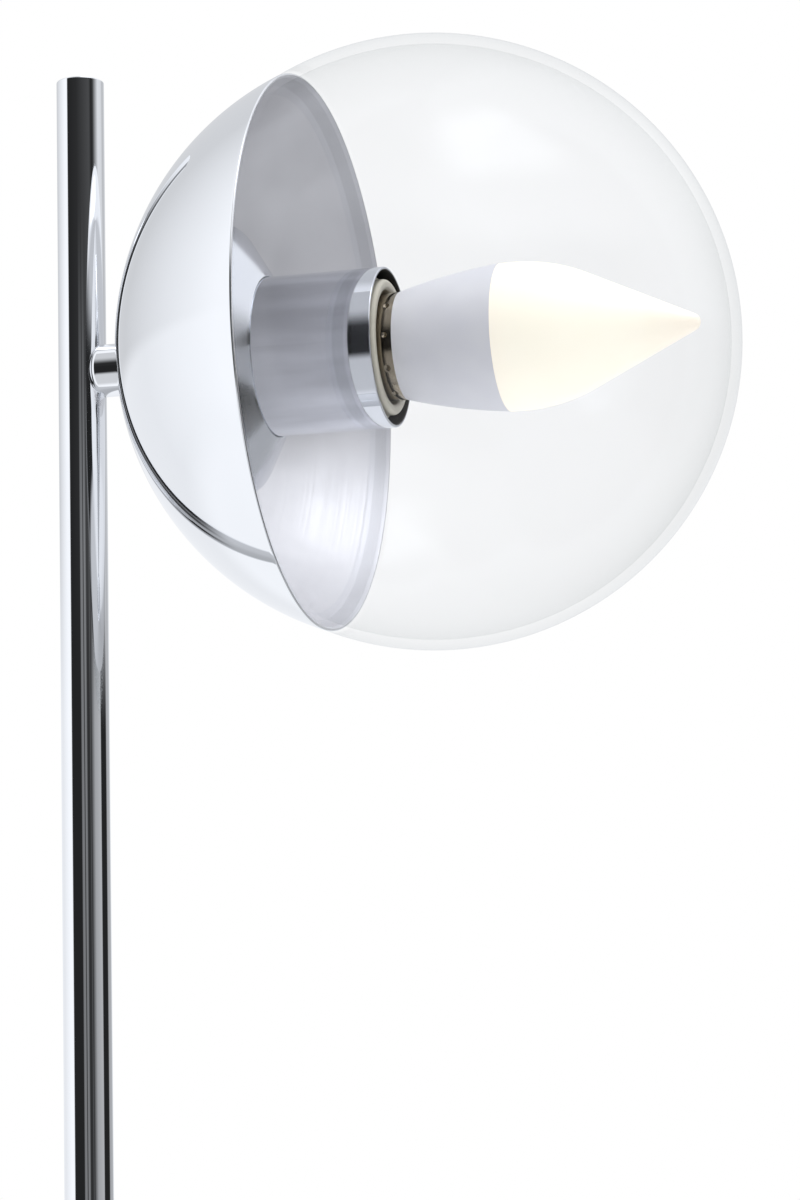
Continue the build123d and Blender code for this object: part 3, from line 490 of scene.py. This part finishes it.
def close_tree(tree, grid, position, finish):
    """Moves the grid to its place, closes its seam, and ends the tree."""
    base = Socket(tree)
    shaped = base.node("GeometryNodeSetPosition", sockets={"Geometry": grid, "Position": position})
    joined = base.node("GeometryNodeMergeByDistance", sockets={"Geometry": shaped, "Distance": 1e-6})
    smooth = base.node("GeometryNodeSetShadeSmooth", sockets={"Geometry": joined})
    real = base.node("GeometryNodeRealizeInstances", sockets={"Geometry": smooth})
    coated = base.node("GeometryNodeSetMaterial", sockets={"Geometry": real, "Material": finish})
    coated.into(tree.nodes.new("NodeGroupOutput"), "Geometry")


def at_head(x, radius, turn, height):
    """Point at a distance along the head axis, a radius from it and a turn round it."""
    across = radius * radius.maths("COSINE", turn)
    up = height + radius * radius.maths("SINE", turn)
    return x.node("ShaderNodeCombineXYZ", sockets={"X": x, "Y": across, "Z": up})


cup_sizes = ["Ball radius", "Ball centre", "Head height", "Seat", "Rim", "Hole radius"]
cup_tree, given = new_tree("spun_cup", cup_sizes)
grid, share, turn = wrapped_grid(cup_tree, columns=257, rows=90)
hole_angle = share.maths("ARCSINE", given["Hole radius"] / given["Ball radius"])
rim_angle = share.maths("ARCCOSINE", (given["Ball centre"] - given["Rim"]) / given["Ball radius"])
angle = hole_angle + share * (rim_angle - hole_angle)
reach = given["Ball centre"] - given["Ball radius"] * angle.maths("COSINE", angle)
seated = reach.maths("MAXIMUM", reach, given["Seat"])
radius = given["Ball radius"] * angle.maths("SINE", angle)
close_tree(cup_tree, grid, at_head(seated, radius, turn, given["Head height"]), given["Finish"])
print("cup tree:", len(cup_tree.nodes), "nodes")

# %% Make the cup
def as_plain(piece):
    """The shape of a piece with its modifiers done, as a bmesh. The piece itself is removed."""
    evaluated = piece.evaluated_get(bpy.context.evaluated_depsgraph_get())
    mesh = bpy.data.meshes.new_from_object(evaluated)
    bpy.data.objects.remove(piece)
    work = bmesh.new()
    work.from_mesh(mesh)
    bpy.data.meshes.remove(mesh)
    return work


def grown(name, tree, values, material, finishing=()):
    """Runs a Geometry Nodes tree with these sizes, finishes it with modifiers, and keeps a plain mesh."""
    host = bpy.data.objects.new(name + "_host", bpy.data.meshes.new(name + "_host"))
    bpy.context.scene.collection.objects.link(host)
    modifier = host.modifiers.new("tree", "NODES")
    modifier.node_group = tree
    for socket in tree.interface.items_tree:
        if socket.in_out == "INPUT":
            modifier[socket.identifier] = values.get(socket.name, material)
    for kind, settings in finishing:
        extra = host.modifiers.new(kind.lower(), kind)
        for setting, value in settings.items():
            setattr(extra, setting, value)
    return finish_mesh(name, as_plain(host), material)


bolt_hole = 5.1 * MM
cup_values = {
    "Ball radius": cup_radius,
    "Ball centre": cup_centre,
    "Head height": head_height,
    "Seat": cup_low.x,
    "Rim": cup_high.x,
    "Hole radius": bolt_hole,
}
cup_finishing = [
    ("SOLIDIFY", {"thickness": cup_wall, "offset": 1.0, "use_even_offset": True}),
    ("BEVEL", {"width": 0.3 * MM, "segments": 4, "limit_method": "ANGLE", "angle_limit": math.radians(50)}),
]
cup = grown("spun_cup", cup_tree, cup_values, cup_chrome, cup_finishing)
place(cup, "stand", "cup_chrome", "reflector_cup")

# %% [markdown]
# ## The glass globe
# The globe meets the rim of the cup, so the two outlines run on into each other. Behind the seam it has a
# thinner collar that slips into a clear soft band in the cup. The outline is arcs of the ball with a step.

# %% Glass globe and its seat band
def ball_arc(centre, radius, first, last, steps):
    """Outline points on a ball from one place along the axis to another."""
    first_angle = math.acos(min((first - centre) / radius, 1.0))
    last_angle = math.acos(min((last - centre) / radius, 1.0))
    angles = [first_angle + (last_angle - first_angle) * step / steps for step in range(steps + 1)]
    return [(centre + radius * math.cos(angle), radius * math.sin(angle), 0) for angle in angles]


collar_step = 1.4 * MM
glass_wall = 2.6 * MM
collar_radius = ball_radius - collar_step
inner_radius = ball_radius - glass_wall
globe_outline = ball_arc(ball_centre, ball_radius, ball_centre + ball_radius, globe_back, 110)
globe_outline += ball_arc(ball_centre, collar_radius, globe_back, globe_low.x, 6)
globe_outline += ball_arc(ball_centre, inner_radius, globe_low.x, ball_centre + inner_radius, 110)
globe = turned("glass_globe_clear", eased(globe_outline), head_axis, clear_glass, steps=fine_steps)
place(globe, "globe", "clear_glass", "glass_globe")

band_low, band_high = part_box("globe_ring")
press_fit = 0.03 * MM
slip_fit = 0.1 * MM
band_outer = cup_radius - cup_wall - press_fit
band_inner = collar_radius + slip_fit
band_outline = ball_arc(cup_centre, band_outer, band_high.x, band_low.x, 8)
band_outline += ball_arc(ball_centre, band_inner, band_low.x, band_high.x, 8)
seat_band = turned("seat_band", eased(band_outline), head_axis, seat_rubber)
place(seat_band, "stand", "seat_rubber", "globe_ring")

# %% [markdown]
# ## Sleeve and domed drum
# A long drawn sleeve hides the lampholder, and a low domed drum round its root hides the nut. Both are thin
# sheet with a rounded lip. The sleeve is the darkest and brightest thing in the ball, because it mirrors the
# room across its whole length.

# %% Sleeve and drum
sheet = 0.8 * MM
sleeve_outline = eased([
    (sleeve_low.x, bolt_hole, 0),
    (sleeve_low.x, sleeve_radius, 2.0 * MM),
    (sleeve_high.x, sleeve_radius, 0.3 * MM),
    (sleeve_high.x, sleeve_radius - sheet, 0.3 * MM),
    (sleeve_low.x + sheet, sleeve_radius - sheet, 1.2 * MM),
    (sleeve_low.x + sheet, bolt_hole, 0),
])
sleeve = turned("lampholder_sleeve", sleeve_outline, head_axis, sleeve_chrome, steps=fine_steps)
place(sleeve, "stand", "sleeve_chrome", "holder_sleeve")

drum_low, drum_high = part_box("holder_cover")
drum_radius = node_radius("holder_cover")
drum_rise = 8.5 * MM
drum_hole = sleeve_radius + slip_fit
drum_outline = eased([
    (drum_low.x, drum_radius, 0.2 * MM),
    (drum_high.x - drum_rise, drum_radius, 4.0 * MM),
    (drum_high.x, drum_hole, 0.2 * MM),
    (drum_high.x - sheet, drum_hole, 0),
    (drum_high.x - drum_rise - sheet, drum_radius - sheet, 3.2 * MM),
    (drum_low.x, drum_radius - sheet, 0),
], steps=10)
drum = turned("domed_drum", drum_outline, head_axis, sleeve_chrome, steps=fine_steps)
place(drum, "stand", "sleeve_chrome", "holder_cover")

# %% [markdown]
# ## Ring of the lampholder
# The cream ring in the mouth of the sleeve is the front of the moulded lampholder. Its outer edge is rounded,
# and a dark gap of about two millimetres is left between it and the sleeve.

# %% Lampholder ring
ring_low, ring_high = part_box("holder_ring")
ring_radius = node_radius("holder_ring")
ring_hole = 13.95 * MM
ring_depth = 3.3 * MM
ring_back = ring_high.x - ring_depth
spigot_radius = 14.77 * MM
ring_outline = eased([
    (ring_low.x, ring_hole, 0),
    (ring_low.x, spigot_radius, 0),
    (ring_back, spigot_radius, 0),
    (ring_back, ring_radius, 0.2 * MM),
    (ring_high.x, ring_radius, 1.0 * MM),
    (ring_high.x, ring_hole, 1.0 * MM),
])
ring = turned("lampholder_ring", ring_outline, head_axis, holder_cream)
place(ring, "stand", "holder_cream", "holder_ring")

# %% [markdown]
# ## Screw cap of the bulb
# The nickelled cap is rolled from thin sheet: a coarse round thread, a plain skirt, and a row of small dents
# where the skirt is pressed into the white body. All three follow a rule, so the radius of a wrapped grid is
# worked out from the place along the cap and the turn round it.

# %% The tree of the cap
cap_sizes = [
    "Start", "Skirt", "End", "Head height", "End radius", "Core radius", "Skirt radius",
    "Pitch", "Ridge", "Ridge start", "Ridge end", "Dents", "Dent place", "Dent size", "Dent depth",
]
cap_tree, given = new_tree("screw_cap", cap_sizes)
grid, share, turn = wrapped_grid(cap_tree, columns=361, rows=130)
x = given["Start"] + share * (given["End"] - given["Start"])
core = share.maths("MINIMUM", given["End radius"] + 4.0 * (x - given["Start"]), given["Core radius"])
on_skirt = x.step(given["Skirt"] - 0.6 * MM, given["Skirt"])
plain = core + on_skirt * (given["Skirt radius"] - given["Core radius"])
threads = (x - given["Ridge start"]) / given["Pitch"] - turn / (2 * math.pi)
off_ridge = (threads - threads.maths("ROUND", threads)) * given["Pitch"] / given["Ridge"]
hump = share.maths("SQRT", share.maths("MAXIMUM", 1 - off_ridge * off_ridge, 0.0))
in_thread = x.step(given["Ridge start"] - 0.5 * given["Pitch"], given["Ridge start"]) * (
    1 - x.step(given["Ridge end"] - 0.5 * given["Pitch"], given["Ridge end"])
)
dents = turn * given["Dents"] / (2 * math.pi)
round_dent = (dents - dents.maths("ROUND", dents)) * (2 * math.pi) * given["Skirt radius"] / given["Dents"]
along_dent = x - given["Dent place"]
off_dent = share.maths("SQRT", round_dent * round_dent + along_dent * along_dent)
dent = given["Dent depth"] * (1 - off_dent.step(0.0, given["Dent size"]))
cap_radius = plain + given["Ridge"] * hump * in_thread - dent
close_tree(cap_tree, grid, at_head(x, cap_radius, turn, given["Head height"]), given["Finish"])
print("cap tree:", len(cap_tree.nodes), "nodes")

# %% Make the cap
cap_low, cap_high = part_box("bulb_cap")
skirt_length = 6.6 * MM
cap_values = {
    "Start": cap_low.x,
    "Skirt": cap_high.x - skirt_length,
    "End": cap_high.x,
    "Head height": head_height,
    "End radius": 9.83 * MM,
    "Core radius": 12.13 * MM,
    "Skirt radius": node_radius("bulb_cap"),
    "Pitch": 25.4 / 7 * MM,
    "Ridge": 0.95 * MM,
    "Ridge start": cap_low.x + 2.0 * MM,
    "Ridge end": cap_high.x - skirt_length - 0.5 * MM,
    "Dents": 10.0,
    "Dent place": cap_high.x - 1.8 * MM,
    "Dent size": 0.75 * MM,
    "Dent depth": 0.45 * MM,
}
cap_finishing = [("SOLIDIFY", {"thickness": 0.5 * MM, "offset": 1.0})]
cap = grown("screw_cap", cap_tree, cap_values, cap_nickel, cap_finishing)
place(cap, "bulb", "cap_nickel", "bulb_cap")

# %% [markdown]
# ## Body and dome of the bulb
# The white body flares gently from the cap to the dome. The dome is a candle: a short straight shoulder, a
# belly on a large arc, a straight taper and a small round tip. The taper touches both the belly and the tip,
# and the direction that does so is worked out below.

# %% Bulb body
body_low, body_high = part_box("bulb_body")
bulb_radius = node_radius("bulb_body")
cap_top = cap_high.x
neck_radius = 13.3 * MM
neck_inside = 12.37 * MM
body_wall = 1.6 * MM
ledge_depth = 1.6 * MM
flare_bow = 0.6 * MM
flare_middle = Vector(((cap_top + body_high.x) / 2, (neck_radius + bulb_radius) / 2 + flare_bow))
flare_start = Vector((cap_top, neck_radius))
flare_end = Vector((body_high.x, bulb_radius))


def bowed(start, middle, end, steps):
    """Points on the parabola that passes the middle point half way from start to end."""
    handle = 2 * middle - (start + end) / 2
    shares = [step / steps for step in range(steps + 1)]
    return [start * (1 - t) ** 2 + 2 * handle * t * (1 - t) + end * t**2 for t in shares]


flare = [(point.x, point.y, 0) for point in bowed(flare_start, flare_middle, flare_end, 32)]
body_outline = eased([
    (body_low.x, neck_inside - body_wall, 0),
    (body_low.x, neck_inside, 0),
    (cap_top, neck_inside, 0),
    *flare,
    (body_high.x, bulb_radius - body_wall, 0),
    (body_high.x - ledge_depth, bulb_radius - body_wall, 0),
    (body_high.x - ledge_depth, bulb_radius - 2 * body_wall, 0),
    (cap_top, neck_inside - body_wall, 0),
])
body = turned("bulb_flare", body_outline, head_axis, bulb_white)
place(body, "bulb", "bulb_white", "bulb_body")

# %% Bulb dome
dome_wall = 1.2 * MM
shoulder_length = 3.0 * MM
belly_share = 0.877
belly_steps, tip_steps = 40, 16
shoulder_end = bulb_low.x + shoulder_length
belly_radius = belly_share * (bulb_high.x - bulb_low.x)
tip_radius = 2.2 * MM
tip_centre = bulb_high.x - tip_radius
run = tip_centre - shoulder_end
rise = belly_radius - bulb_radius
taper = math.atan2(run, rise) - math.acos((belly_radius - tip_radius) / math.hypot(run, rise))


def dome_points(inset):
    """Outline of the dome from its mouth to its tip, moved inwards by an inset."""
    belly = [taper * step / belly_steps for step in range(belly_steps + 1)]
    tip = [taper + (math.pi / 2 - taper) * step / tip_steps for step in range(tip_steps + 1)]
    belly_size = belly_radius - inset
    tip_size = tip_radius - inset
    points = [(bulb_low.x, bulb_radius - inset, 0)]
    points += [(shoulder_end + belly_size * math.sin(a), belly_size * math.cos(a) - rise, 0) for a in belly]
    points += [(tip_centre + tip_size * math.sin(a), tip_size * math.cos(a), 0) for a in tip]
    return points


dome_outline = eased(dome_points(0.0) + dome_points(dome_wall)[::-1])
dome = turned("bulb_dome", dome_outline, head_axis, opal_diffuser)
place(dome, "bulb", "opal_diffuser", "bulb_diffuser")

# %% [markdown]
# ## Pole, plug and stub
# The pole is drawn tube with a plug in its top. The stub that carries the ball is turned, and its end is cut to
# the round of the pole, so that it sits like a saddle. The Boolean modifier cuts it with a cylinder as thick as
# the pole, as a hollow cutter would in the workshop.

# %% Pole and plug
pole_wall = 1.0 * MM
pole_outline = eased([
    (pole_low.z, pole_radius - pole_wall, 0),
    (pole_low.z, pole_radius, 0.1 * MM),
    (pole_high.z, pole_radius, 0.3 * MM),
    (pole_high.z, pole_radius - pole_wall, 0.1 * MM),
])
pole = turned("pole", pole_outline, pole_axis, pole_chrome)
place(pole, "stand", "pole_chrome", "pole_tube")

plug_low, plug_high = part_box("pole_plug")
plug_outline = eased([
    (plug_low.z, 0, 0),
    (plug_low.z, plug_high.x, 0),
    (plug_high.z, plug_high.x, 0.3 * MM),
    (plug_high.z, 0, 0),
])
plug = turned("top_plug", plug_outline, pole_axis, pole_chrome)
place(plug, "stand", "pole_chrome", "pole_plug")

# %% Stub with its saddle
def cut_by(piece, cutter):
    """Takes a cutter out of a piece with the Boolean modifier and keeps a plain mesh."""
    modifier = piece.modifiers.new("cut", "BOOLEAN")
    modifier.object = cutter
    modifier.solver = "EXACT"
    name, material = piece.name, piece.data.materials[0]
    work = as_plain(piece)
    bpy.data.objects.remove(cutter)
    return finish_mesh(name, work, material)


def rod(start, end, radius):
    """Outline of a plain rod."""
    return [(start, 0), (start, radius), (end, radius), (end, 0)]


stub_low, stub_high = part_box("head_stub")
stub_radius = node_radius("head_stub")
wire_hole = 3.4 * MM
thread_depth = 7.5 * MM
saddle_reach = 20 * MM
stub_outline = eased([
    (stub_low.x, wire_hole, 0),
    (stub_low.x, stub_radius, 1.5 * MM),
    (stub_high.x, stub_radius, 0.15 * MM),
    (stub_high.x, bolt_hole, 0),
    (stub_high.x - thread_depth, bolt_hole, 0),
    (stub_high.x - thread_depth, wire_hole, 0),
])
stub_blank = turned("stub", stub_outline, head_axis, pole_chrome)
cutter_outline = rod(head_height - saddle_reach, head_height + saddle_reach, pole_radius)
stub_cutter = turned("stub_cutter", cutter_outline, pole_axis, pole_chrome)
stub = cut_by(stub_blank, stub_cutter)
place(stub, "stand", "pole_chrome", "head_stub")

# %% [markdown]
# ## Base
# The base is a heavy disc under a drawn chrome cover, on a thin rubber sheet. The cord would enter through a
# rubber grommet in the back wall, so the cover has a round hole there, cut with the same Boolean.

# %% Cover, pad and grommet
base_low, base_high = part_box("base_cover")
base_radius = base_high.x
base_wall = 1.2 * MM
stud_hole = 4.1 * MM
base_outline = eased([
    (base_low.z, base_radius - base_wall, 0),
    (base_low.z, base_radius, 0.3 * MM),
    (base_high.z, base_radius, 4.0 * MM),
    (base_high.z, stud_hole, 0),
    (base_high.z - base_wall, stud_hole, 0),
    (base_high.z - base_wall, base_radius - base_wall, 2.8 * MM),
], steps=10)
cover_blank = turned("base_disc", base_outline, pole_axis, base_chrome, steps=fine_steps)

bushing_low, bushing_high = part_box("cord_bushing")
inlet_height = (bushing_low.z + bushing_high.z) / 2
inlet_axis = Matrix.Translation((0, 0, inlet_height)) @ Matrix.Rotation(-math.pi / 2, 4, "Y")
neck = 4.5 * MM
inlet_reach = 5 * MM
inlet_outline = rod(base_radius - inlet_reach, base_radius + inlet_reach, neck)
inlet_cutter = turned("inlet_cutter", inlet_outline, inlet_axis, base_chrome, steps=64)
base_disc = cut_by(cover_blank, inlet_cutter)
place(base_disc, "stand", "base_chrome", "base_cover")

pad_low, pad_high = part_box("base_pad")
pad_outline = eased([
    (pad_low.z, 0, 0),
    (pad_low.z, pad_high.x, 0.4 * MM),
    (pad_high.z, pad_high.x, 0.2 * MM),
    (pad_high.z, 0, 0),
])
pad = turned("rubber_sheet", pad_outline, pole_axis, pad_rubber)
place(pad, "stand", "pad_rubber", "base_pad")

flange = (bushing_high.z - bushing_low.z) / 2
flange_thickness = 1.5 * MM
bushing_bore = 3.3 * MM
bushing_outline = eased([
    (-bushing_high.x, bushing_bore, 0.3 * MM),
    (-bushing_high.x, flange, 0.3 * MM),
    (-bushing_high.x + flange_thickness, flange, 0.2 * MM),
    (-bushing_high.x + flange_thickness, neck, 0),
    (base_radius, neck, 0),
    (base_radius, flange, 0.2 * MM),
    (-bushing_low.x, flange, 0.7 * MM),
    (-bushing_low.x, bushing_bore, 0.4 * MM),
])
bushing = turned("cord_grommet", bushing_outline, inlet_axis, bushing_rubber, steps=96)
place(bushing, "stand", "bushing_rubber", "cord_bushing")

# %% [markdown]
# ## Pieces inside
# Most of the nuts, wires, contacts and boards are hidden in the finished lamp. Their solids are already the
# right shape, so they stay and only take their finish.

# %% Finishes of the hidden solids
hidden_finishes = {
    weight_iron: ["base_weight"],
    block_plastic: ["terminal_block"],
    plated_steel: [
        "terminal_screws", "foot_washer", "foot_nut", "foot_stud", "head_nipple", "cup_washer", "cup_nut",
        "holder_bridge", "bridge_screws", "holder_terminal_screws",
    ],
    terminal_brass: [
        "earth_tag", "foot_insert", "holder_shell", "holder_contact", "contact_rivets", "holder_terminals",
    ],
    holder_cream: ["holder_body"],
    foot_solder: ["bulb_foot"],
    cap_insulator: ["bulb_insulator"],
    plate_aluminium: ["led_plate"],
    chip_yellow: ["led_chips"],
    board_green: ["bulb_driver"],
    wire_brown: ["live_wire"],
    wire_blue: ["neutral_wire"],
    wire_green: ["earth_wire"],
}
for material, nodes in hidden_finishes.items():
    for node in nodes:
        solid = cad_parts[node].data
        solid.materials.clear()
        solid.materials.append(material)
print("hidden solids with a finish:", sum(len(nodes) for nodes in hidden_finishes.values()))

# %% [markdown]
# ## Floor
# A wide pale disc carries the lamp. It isn't part of the lamp, so it is marked as stage.

# %% Floor
pale_floor, surface, coordinates = new_finish("pale_floor")
noise(coordinates, 300 * MM).colours((0.80, 0.80, 0.81, 1), (0.84, 0.84, 0.84, 1)).into(surface, "Base Color")
surface.inputs["Roughness"].default_value = 0.8
floor_thickness = 5 * MM
floor_radius = 4.0
floor = turned("floor", rod(-floor_thickness, 0, floor_radius), pole_axis, pale_floor)
floor.visible_glossy = False
floor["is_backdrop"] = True
print("floor ready")

# %% [markdown]
# ## Studio
# Chrome shows nothing but the room, so the room is the most important finish of the lamp. The photo doesn't
# show the room, only what the chrome mirrors, so this one is a guess that gives similar tones in this view: a
# white panel on the left, a white table, a pale ceiling, a soft window high on the right and a dark space
# behind the camera, which draws the dark band down the pole. The world shader paints it by direction, with
# four ramps round the horizon. The camera itself sees plain white.

# %% Room round the lamp
scene = bpy.context.scene
studio = bpy.data.worlds.new("studio")
studio.use_nodes = True
scene.world = studio
tree = studio.node_tree
room = Socket(tree)
right, away, height = room.node("ShaderNodeTexCoord", output="Generated").parts()
to_degrees = 180 / math.pi
azimuth = room.maths("ARCTAN2", right, 0 - away) * to_degrees
elevation = room.maths("ARCSINE", height) * to_degrees


def round_horizon(stops):
    """Brightness by azimuth, from (degrees, brightness) stops between -180 and 180."""
    ramp = room.node("ShaderNodeValToRGB", sockets={0: azimuth / 360 + 0.5})
    elements = ramp.source.node.color_ramp.elements
    elements.remove(elements[1])
    for degrees, brightness in stops:
        element = elements.new(degrees / 360 + 0.5) if degrees > -180 else elements[0]
        element.color = (brightness, brightness, brightness, 1)
    return ramp


def patch(value, start, end, soft):
    """1 between start and end, falling to 0 over a soft edge."""
    return value.step(start - soft, start + soft) * (1 - value.step(end - soft, end + soft))


upper_wall = round_horizon([
    (-180, 0.74), (-130, 0.70), (-65, 1.10), (-49, 1.12), (-46, 0.02), (0, 0.03), (60, 0.08), (72, 0.02),
    (82, 0.05), (97, 0.42), (112, 0.85), (135, 0.80), (152, 0.55), (180, 0.74),
])
lower_wall = round_horizon([
    (-180, 0.95), (-110, 0.94), (-65, 1.12), (-49, 1.12), (-46, 0.02), (0, 0.02), (48, 0.04), (66, 0.42),
    (96, 0.52), (99, 0.02), (132, 0.02), (138, 0.45), (165, 0.50), (180, 0.95),
])
table = round_horizon([
    (-180, 0.90), (-150, 1.05), (-60, 1.10), (-40, 0.74), (40, 0.70), (80, 0.60), (150, 0.54), (170, 0.64),
    (180, 0.90),
])
ceiling = round_horizon([(-180, 0.75), (0, 0.70), (30, 1.15), (160, 1.15), (180, 0.75)])
high = elevation.step(7, 11)
wall = upper_wall * high + lower_wall * (1 - high)
streaks = room.node("ShaderNodeTexNoise", {"noise_dimensions": "1D"}, {"W": azimuth * 0.014, "Detail": 1.0})
wall = wall + 0.2 * streaks.step(0.45, 0.6) * patch(azimuth, 2, 50, 3) * (1 - elevation.step(9, 16))
to_right = azimuth.step(0, 28)
upwards = elevation.step(18, 46 - 14 * to_right)
wall = wall * (1 - upwards) + wall.maths("MAXIMUM", wall, ceiling) * upwards
downwards = 1 - elevation.step(-28, -15)
window = patch(azimuth, 25, 88, 14) * patch(elevation, 50, 76, 6)
level = wall * (1 - downwards) + table * downwards + 1.8 * window
tint = level.node("ShaderNodeCombineColor", sockets={0: level * 0.965, 1: level * 0.985, 2: level * 1.02})
seen = room.node("ShaderNodeLightPath", output="Is Camera Ray")
sky = seen.colours(tint, (1, 1, 1, 1))
sky.into(tree.nodes["Background"], "Color")
scene.view_settings.view_transform = "Standard"
scene.cycles.transparent_max_bounces = 32
print("room ready with", len(tree.nodes), "nodes")

# %% [markdown]
# ## Soft fill
# Plastic and rubber need light of their own, more than the dim side of the room gives them. Two large soft
# panels, one in front and one above, light them. They are hidden from mirrors, so the chrome keeps its room.

# %% Fill panels
def soft_panel(name, place_of_panel, size, watts):
    """Large square light that looks at the head and isn't seen by the camera or in mirrors."""
    light = bpy.data.lights.new(name, "AREA")
    light.size = size
    light.energy = watts
    panel = bpy.data.objects.new(name, light)
    panel.location = place_of_panel
    towards = Vector((ball_centre, 0, head_height)) - panel.location
    panel.rotation_euler = towards.to_track_quat("-Z", "Y").to_euler()
    panel.visible_camera = False
    panel.visible_glossy = False
    scene.collection.objects.link(panel)


soft_panel("front_panel", Vector((0.5, -1.6, 0.5)), 1.2, 3.0)
soft_panel("top_panel", Vector((0.2, -0.3, 1.7)), 1.2, 11.0)
print("fill panels ready")

# %% [markdown]
# ## Camera
# The camera stands a little below the head, in front of it and to its right, and looks up. Its place and lens
# were fitted to the outlines of pole, cup and ball in the photo, so the two pictures can be laid over each
# other.

# %% Camera
photo_height = 1200
focal_pixels = 3540.3
yaw, pitch, roll = 0.2625, 0.1584, -0.0224
camera_place = (0.30087, -0.81778, head_height - 0.19811)
across = Vector((math.cos(yaw), math.sin(yaw), 0))
forward = Vector((-math.sin(yaw) * math.cos(pitch), math.cos(yaw) * math.cos(pitch), math.sin(pitch)))
upward = across.cross(forward)
camera_x = math.cos(roll) * across + math.sin(roll) * upward
camera_y = -math.sin(roll) * across + math.cos(roll) * upward
pose = Matrix((camera_x, camera_y, -forward)).transposed().to_4x4()
pose.translation = camera_place

lens = bpy.data.cameras.new("camera")
lens.sensor_width = 36
lens.lens = focal_pixels / photo_height * lens.sensor_width
camera = bpy.data.objects.new("camera", lens)
camera.matrix_world = pose
scene.collection.objects.link(camera)
scene.camera = camera
print("camera at", tuple(round(value, 3) for value in pose.translation))

# %% [markdown]
# ## Last measure
# The dressed lamp has to stay inside the box of the solid model, so the box of the dressed lamp is printed.

# %% Print the box of the dressed lamp
low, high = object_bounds()
print("dressed box", [round(value, 4) for value in (*low, *high)])
